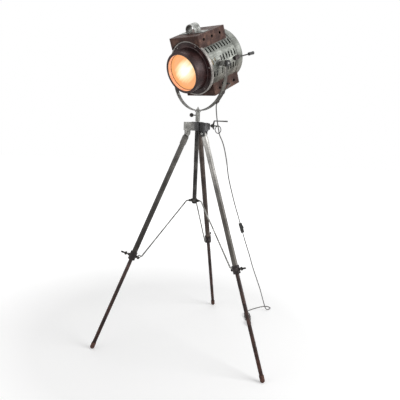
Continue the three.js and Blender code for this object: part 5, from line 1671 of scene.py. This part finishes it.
@dataclass(frozen=True)
class Studio:
    """A white room: a pale floor that keeps the shadow, a white surround and soft lamps."""

    floor_size: float = 16.0
    floor_tone: tuple[float, float, float, float] = (0.8, 0.8, 0.8, 1.0)
    surround: float = 0.25  # light from all round
    lamp_size: float = 2.2
    lamps: tuple[tuple[str, tuple[float, float, float], float], ...] = (  # name, place in metres, power in watts
        ("key", (3.0, -1.4, 2.2), 95.0), ("fill", (-2.6, -1.8, 1.9), 24.0), ("top", (0.2, 0.8, 3.8), 30.0),
    )
    glow_near: float = 0.3  # what the camera sees on top of the lit floor, at the lamp's feet
    glow_far: float = 0.95  # and far from them
    near: float = 0.7  # metres from the column's axis to where the glow starts to grow
    far: float = 2.2

    def build(self) -> None:
        """Makes the floor, the surround and the lamps."""
        self.floor()
        self.world()
        for name, place, power in self.lamps:
            self.lamp(name, place, power)
        bpy.context.scene.view_settings.view_transform = "Standard"

    @staticmethod
    def seen(tree: Tree) -> Socket:
        """Tells light that is seen from light that lights.

        Args:
            tree: the node tree that asks.

        Returns:
            1 for what the camera sees straight, in a reflection or through glass, and 0 for the rest.
        """
        path = tree.node("ShaderNodeLightPath", {}).node.outputs
        mirrored = tree.math("MAXIMUM", path["Is Camera Ray"], path["Is Glossy Ray"])
        return tree.math("MAXIMUM", mirrored, path["Is Transmission Ray"])

    def floor(self) -> None:
        """The pale floor."""
        mesh = bmesh.new()
        bmesh.ops.create_grid(mesh, x_segments=1, y_segments=1, size=self.floor_size / 2)
        made = stock(mesh)
        made.name = "floor"
        material = bpy.data.materials.new("pale_floor")
        material.use_nodes = True
        material.node_tree.nodes.clear()
        tree = Tree(material.node_tree)
        lit = tree.node("ShaderNodeBsdfDiffuse", {"Color": self.floor_tone})
        place = tree.node("ShaderNodeTexCoord", {}, "Object")
        away = tree.node("ShaderNodeVectorMath", {0: place}, "Value", operation="LENGTH")
        span = {"Value": away, "From Min": self.near, "From Max": self.far, "To Min": self.glow_near,
                "To Max": self.glow_far}
        strength = tree.math("MULTIPLY", self.seen(tree), tree.node("ShaderNodeMapRange", span))
        glow = tree.node("ShaderNodeEmission", {"Strength": strength})
        tree.node("ShaderNodeOutputMaterial", {"Surface": tree.node("ShaderNodeAddShader", {0: lit, 1: glow})})
        made.data.materials.append(material)

    def world(self) -> None:
        """The white surround, which lights the lamp more softly than it looks."""
        world = bpy.data.worlds.new("surround")
        world.use_nodes = True
        tree = Tree(world.node_tree)
        background = world.node_tree.nodes["Background"].inputs
        span = {"Value": self.seen(tree), "To Min": self.surround, "To Max": 1.0}
        tree.feed(background["Color"], WHITE)
        tree.feed(background["Strength"], tree.node("ShaderNodeMapRange", span))
        bpy.context.scene.world = world

    def lamp(self, name: str, place: Sequence[float], power: float) -> None:
        """A square soft lamp that faces the middle of the object.

        Args:
            name: its name.
            place: where it stands, in metres.
            power: its power, in watts.
        """
        data = bpy.data.lights.new(name, "AREA")
        data.size, data.energy = self.lamp_size, power
        made = bpy.data.objects.new(name, data)
        bpy.context.scene.collection.objects.link(made)
        facing = (Vector((0.0, 0.0, 1.0)) - Vector(place)).to_track_quat("-Z", "Y")
        made.matrix_world = Matrix.Translation(place) @ facing.to_matrix().to_4x4()


# ---- the whole lamp ----
class Lamp:
    """The lamp's sub-assemblies and the places that they share, from the frame's joints."""

    head_tilt: float = 23.3  # degrees that the back of the head stands higher than its front

    def __init__(self) -> None:
        """Reads the axes that the joints give."""
        self.joints = {joint["name"]: joint for joint in Bench.frame["joints"]}
        self.axis = self.place("pan")
        self.axis.z = 0
        self.stand = Spot.at("stand", self.axis, Vector((1, 0, 0)), Vector((0, 1, 0)))
        pivot = self.place("tilt")
        right = Vector(self.joints["tilt"]["axis"])
        level_back = UP.cross(right)
        self.pan = Spot.at("yoke", self.axis, right, level_back)
        self.tilt_height = pivot.z / MM
        tilt = math.radians(self.head_tilt)
        back = math.cos(tilt) * level_back + math.sin(tilt) * UP
        self.head = Spot.at("head", pivot, right, back)

    def place(self, joint: str) -> Vector:
        """A hinge's place."""
        return Vector(self.joints[joint]["pos_m"])

    def leg_spot(self, number: int) -> Spot:
        """A leg's place: its origin on the hinge, X outwards and Z up the leg.

        Args:
            number: which leg.

        Returns:
            The place.
        """
        across = Vector(self.joints[f"leg_fold_{number}"]["axis"])
        along = Vector(self.joints[f"leg_slide_{number}"]["axis"])
        return Spot.at(f"leg_{number}", self.place(f"leg_fold_{number}"), across.cross(along), across)

    def build(self) -> None:
        """Makes every piece of the lamp."""
        Hub(self.stand).build()
        for number in range(1, 4):
            Leg(number, self.leg_spot(number)).build()
        Spreader(self.stand.riding("spreader")).build()
        Yoke(self.pan, self.tilt_height).build()
        Head(self.head).build()
        Cord(self.stand, self.pan).build()


def main() -> None:
    """Loads the frame, builds the camera, the studio and the lamp."""
    logging.basicConfig(level=logging.INFO, format="%(message)s")
    Bench.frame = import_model()
    Bench.rows = Rows.recipe()
    lamp = Lamp()
    Camera().build(lamp.axis)
    Studio().build()
    lamp.build()


if __name__ == "__main__":
    main()
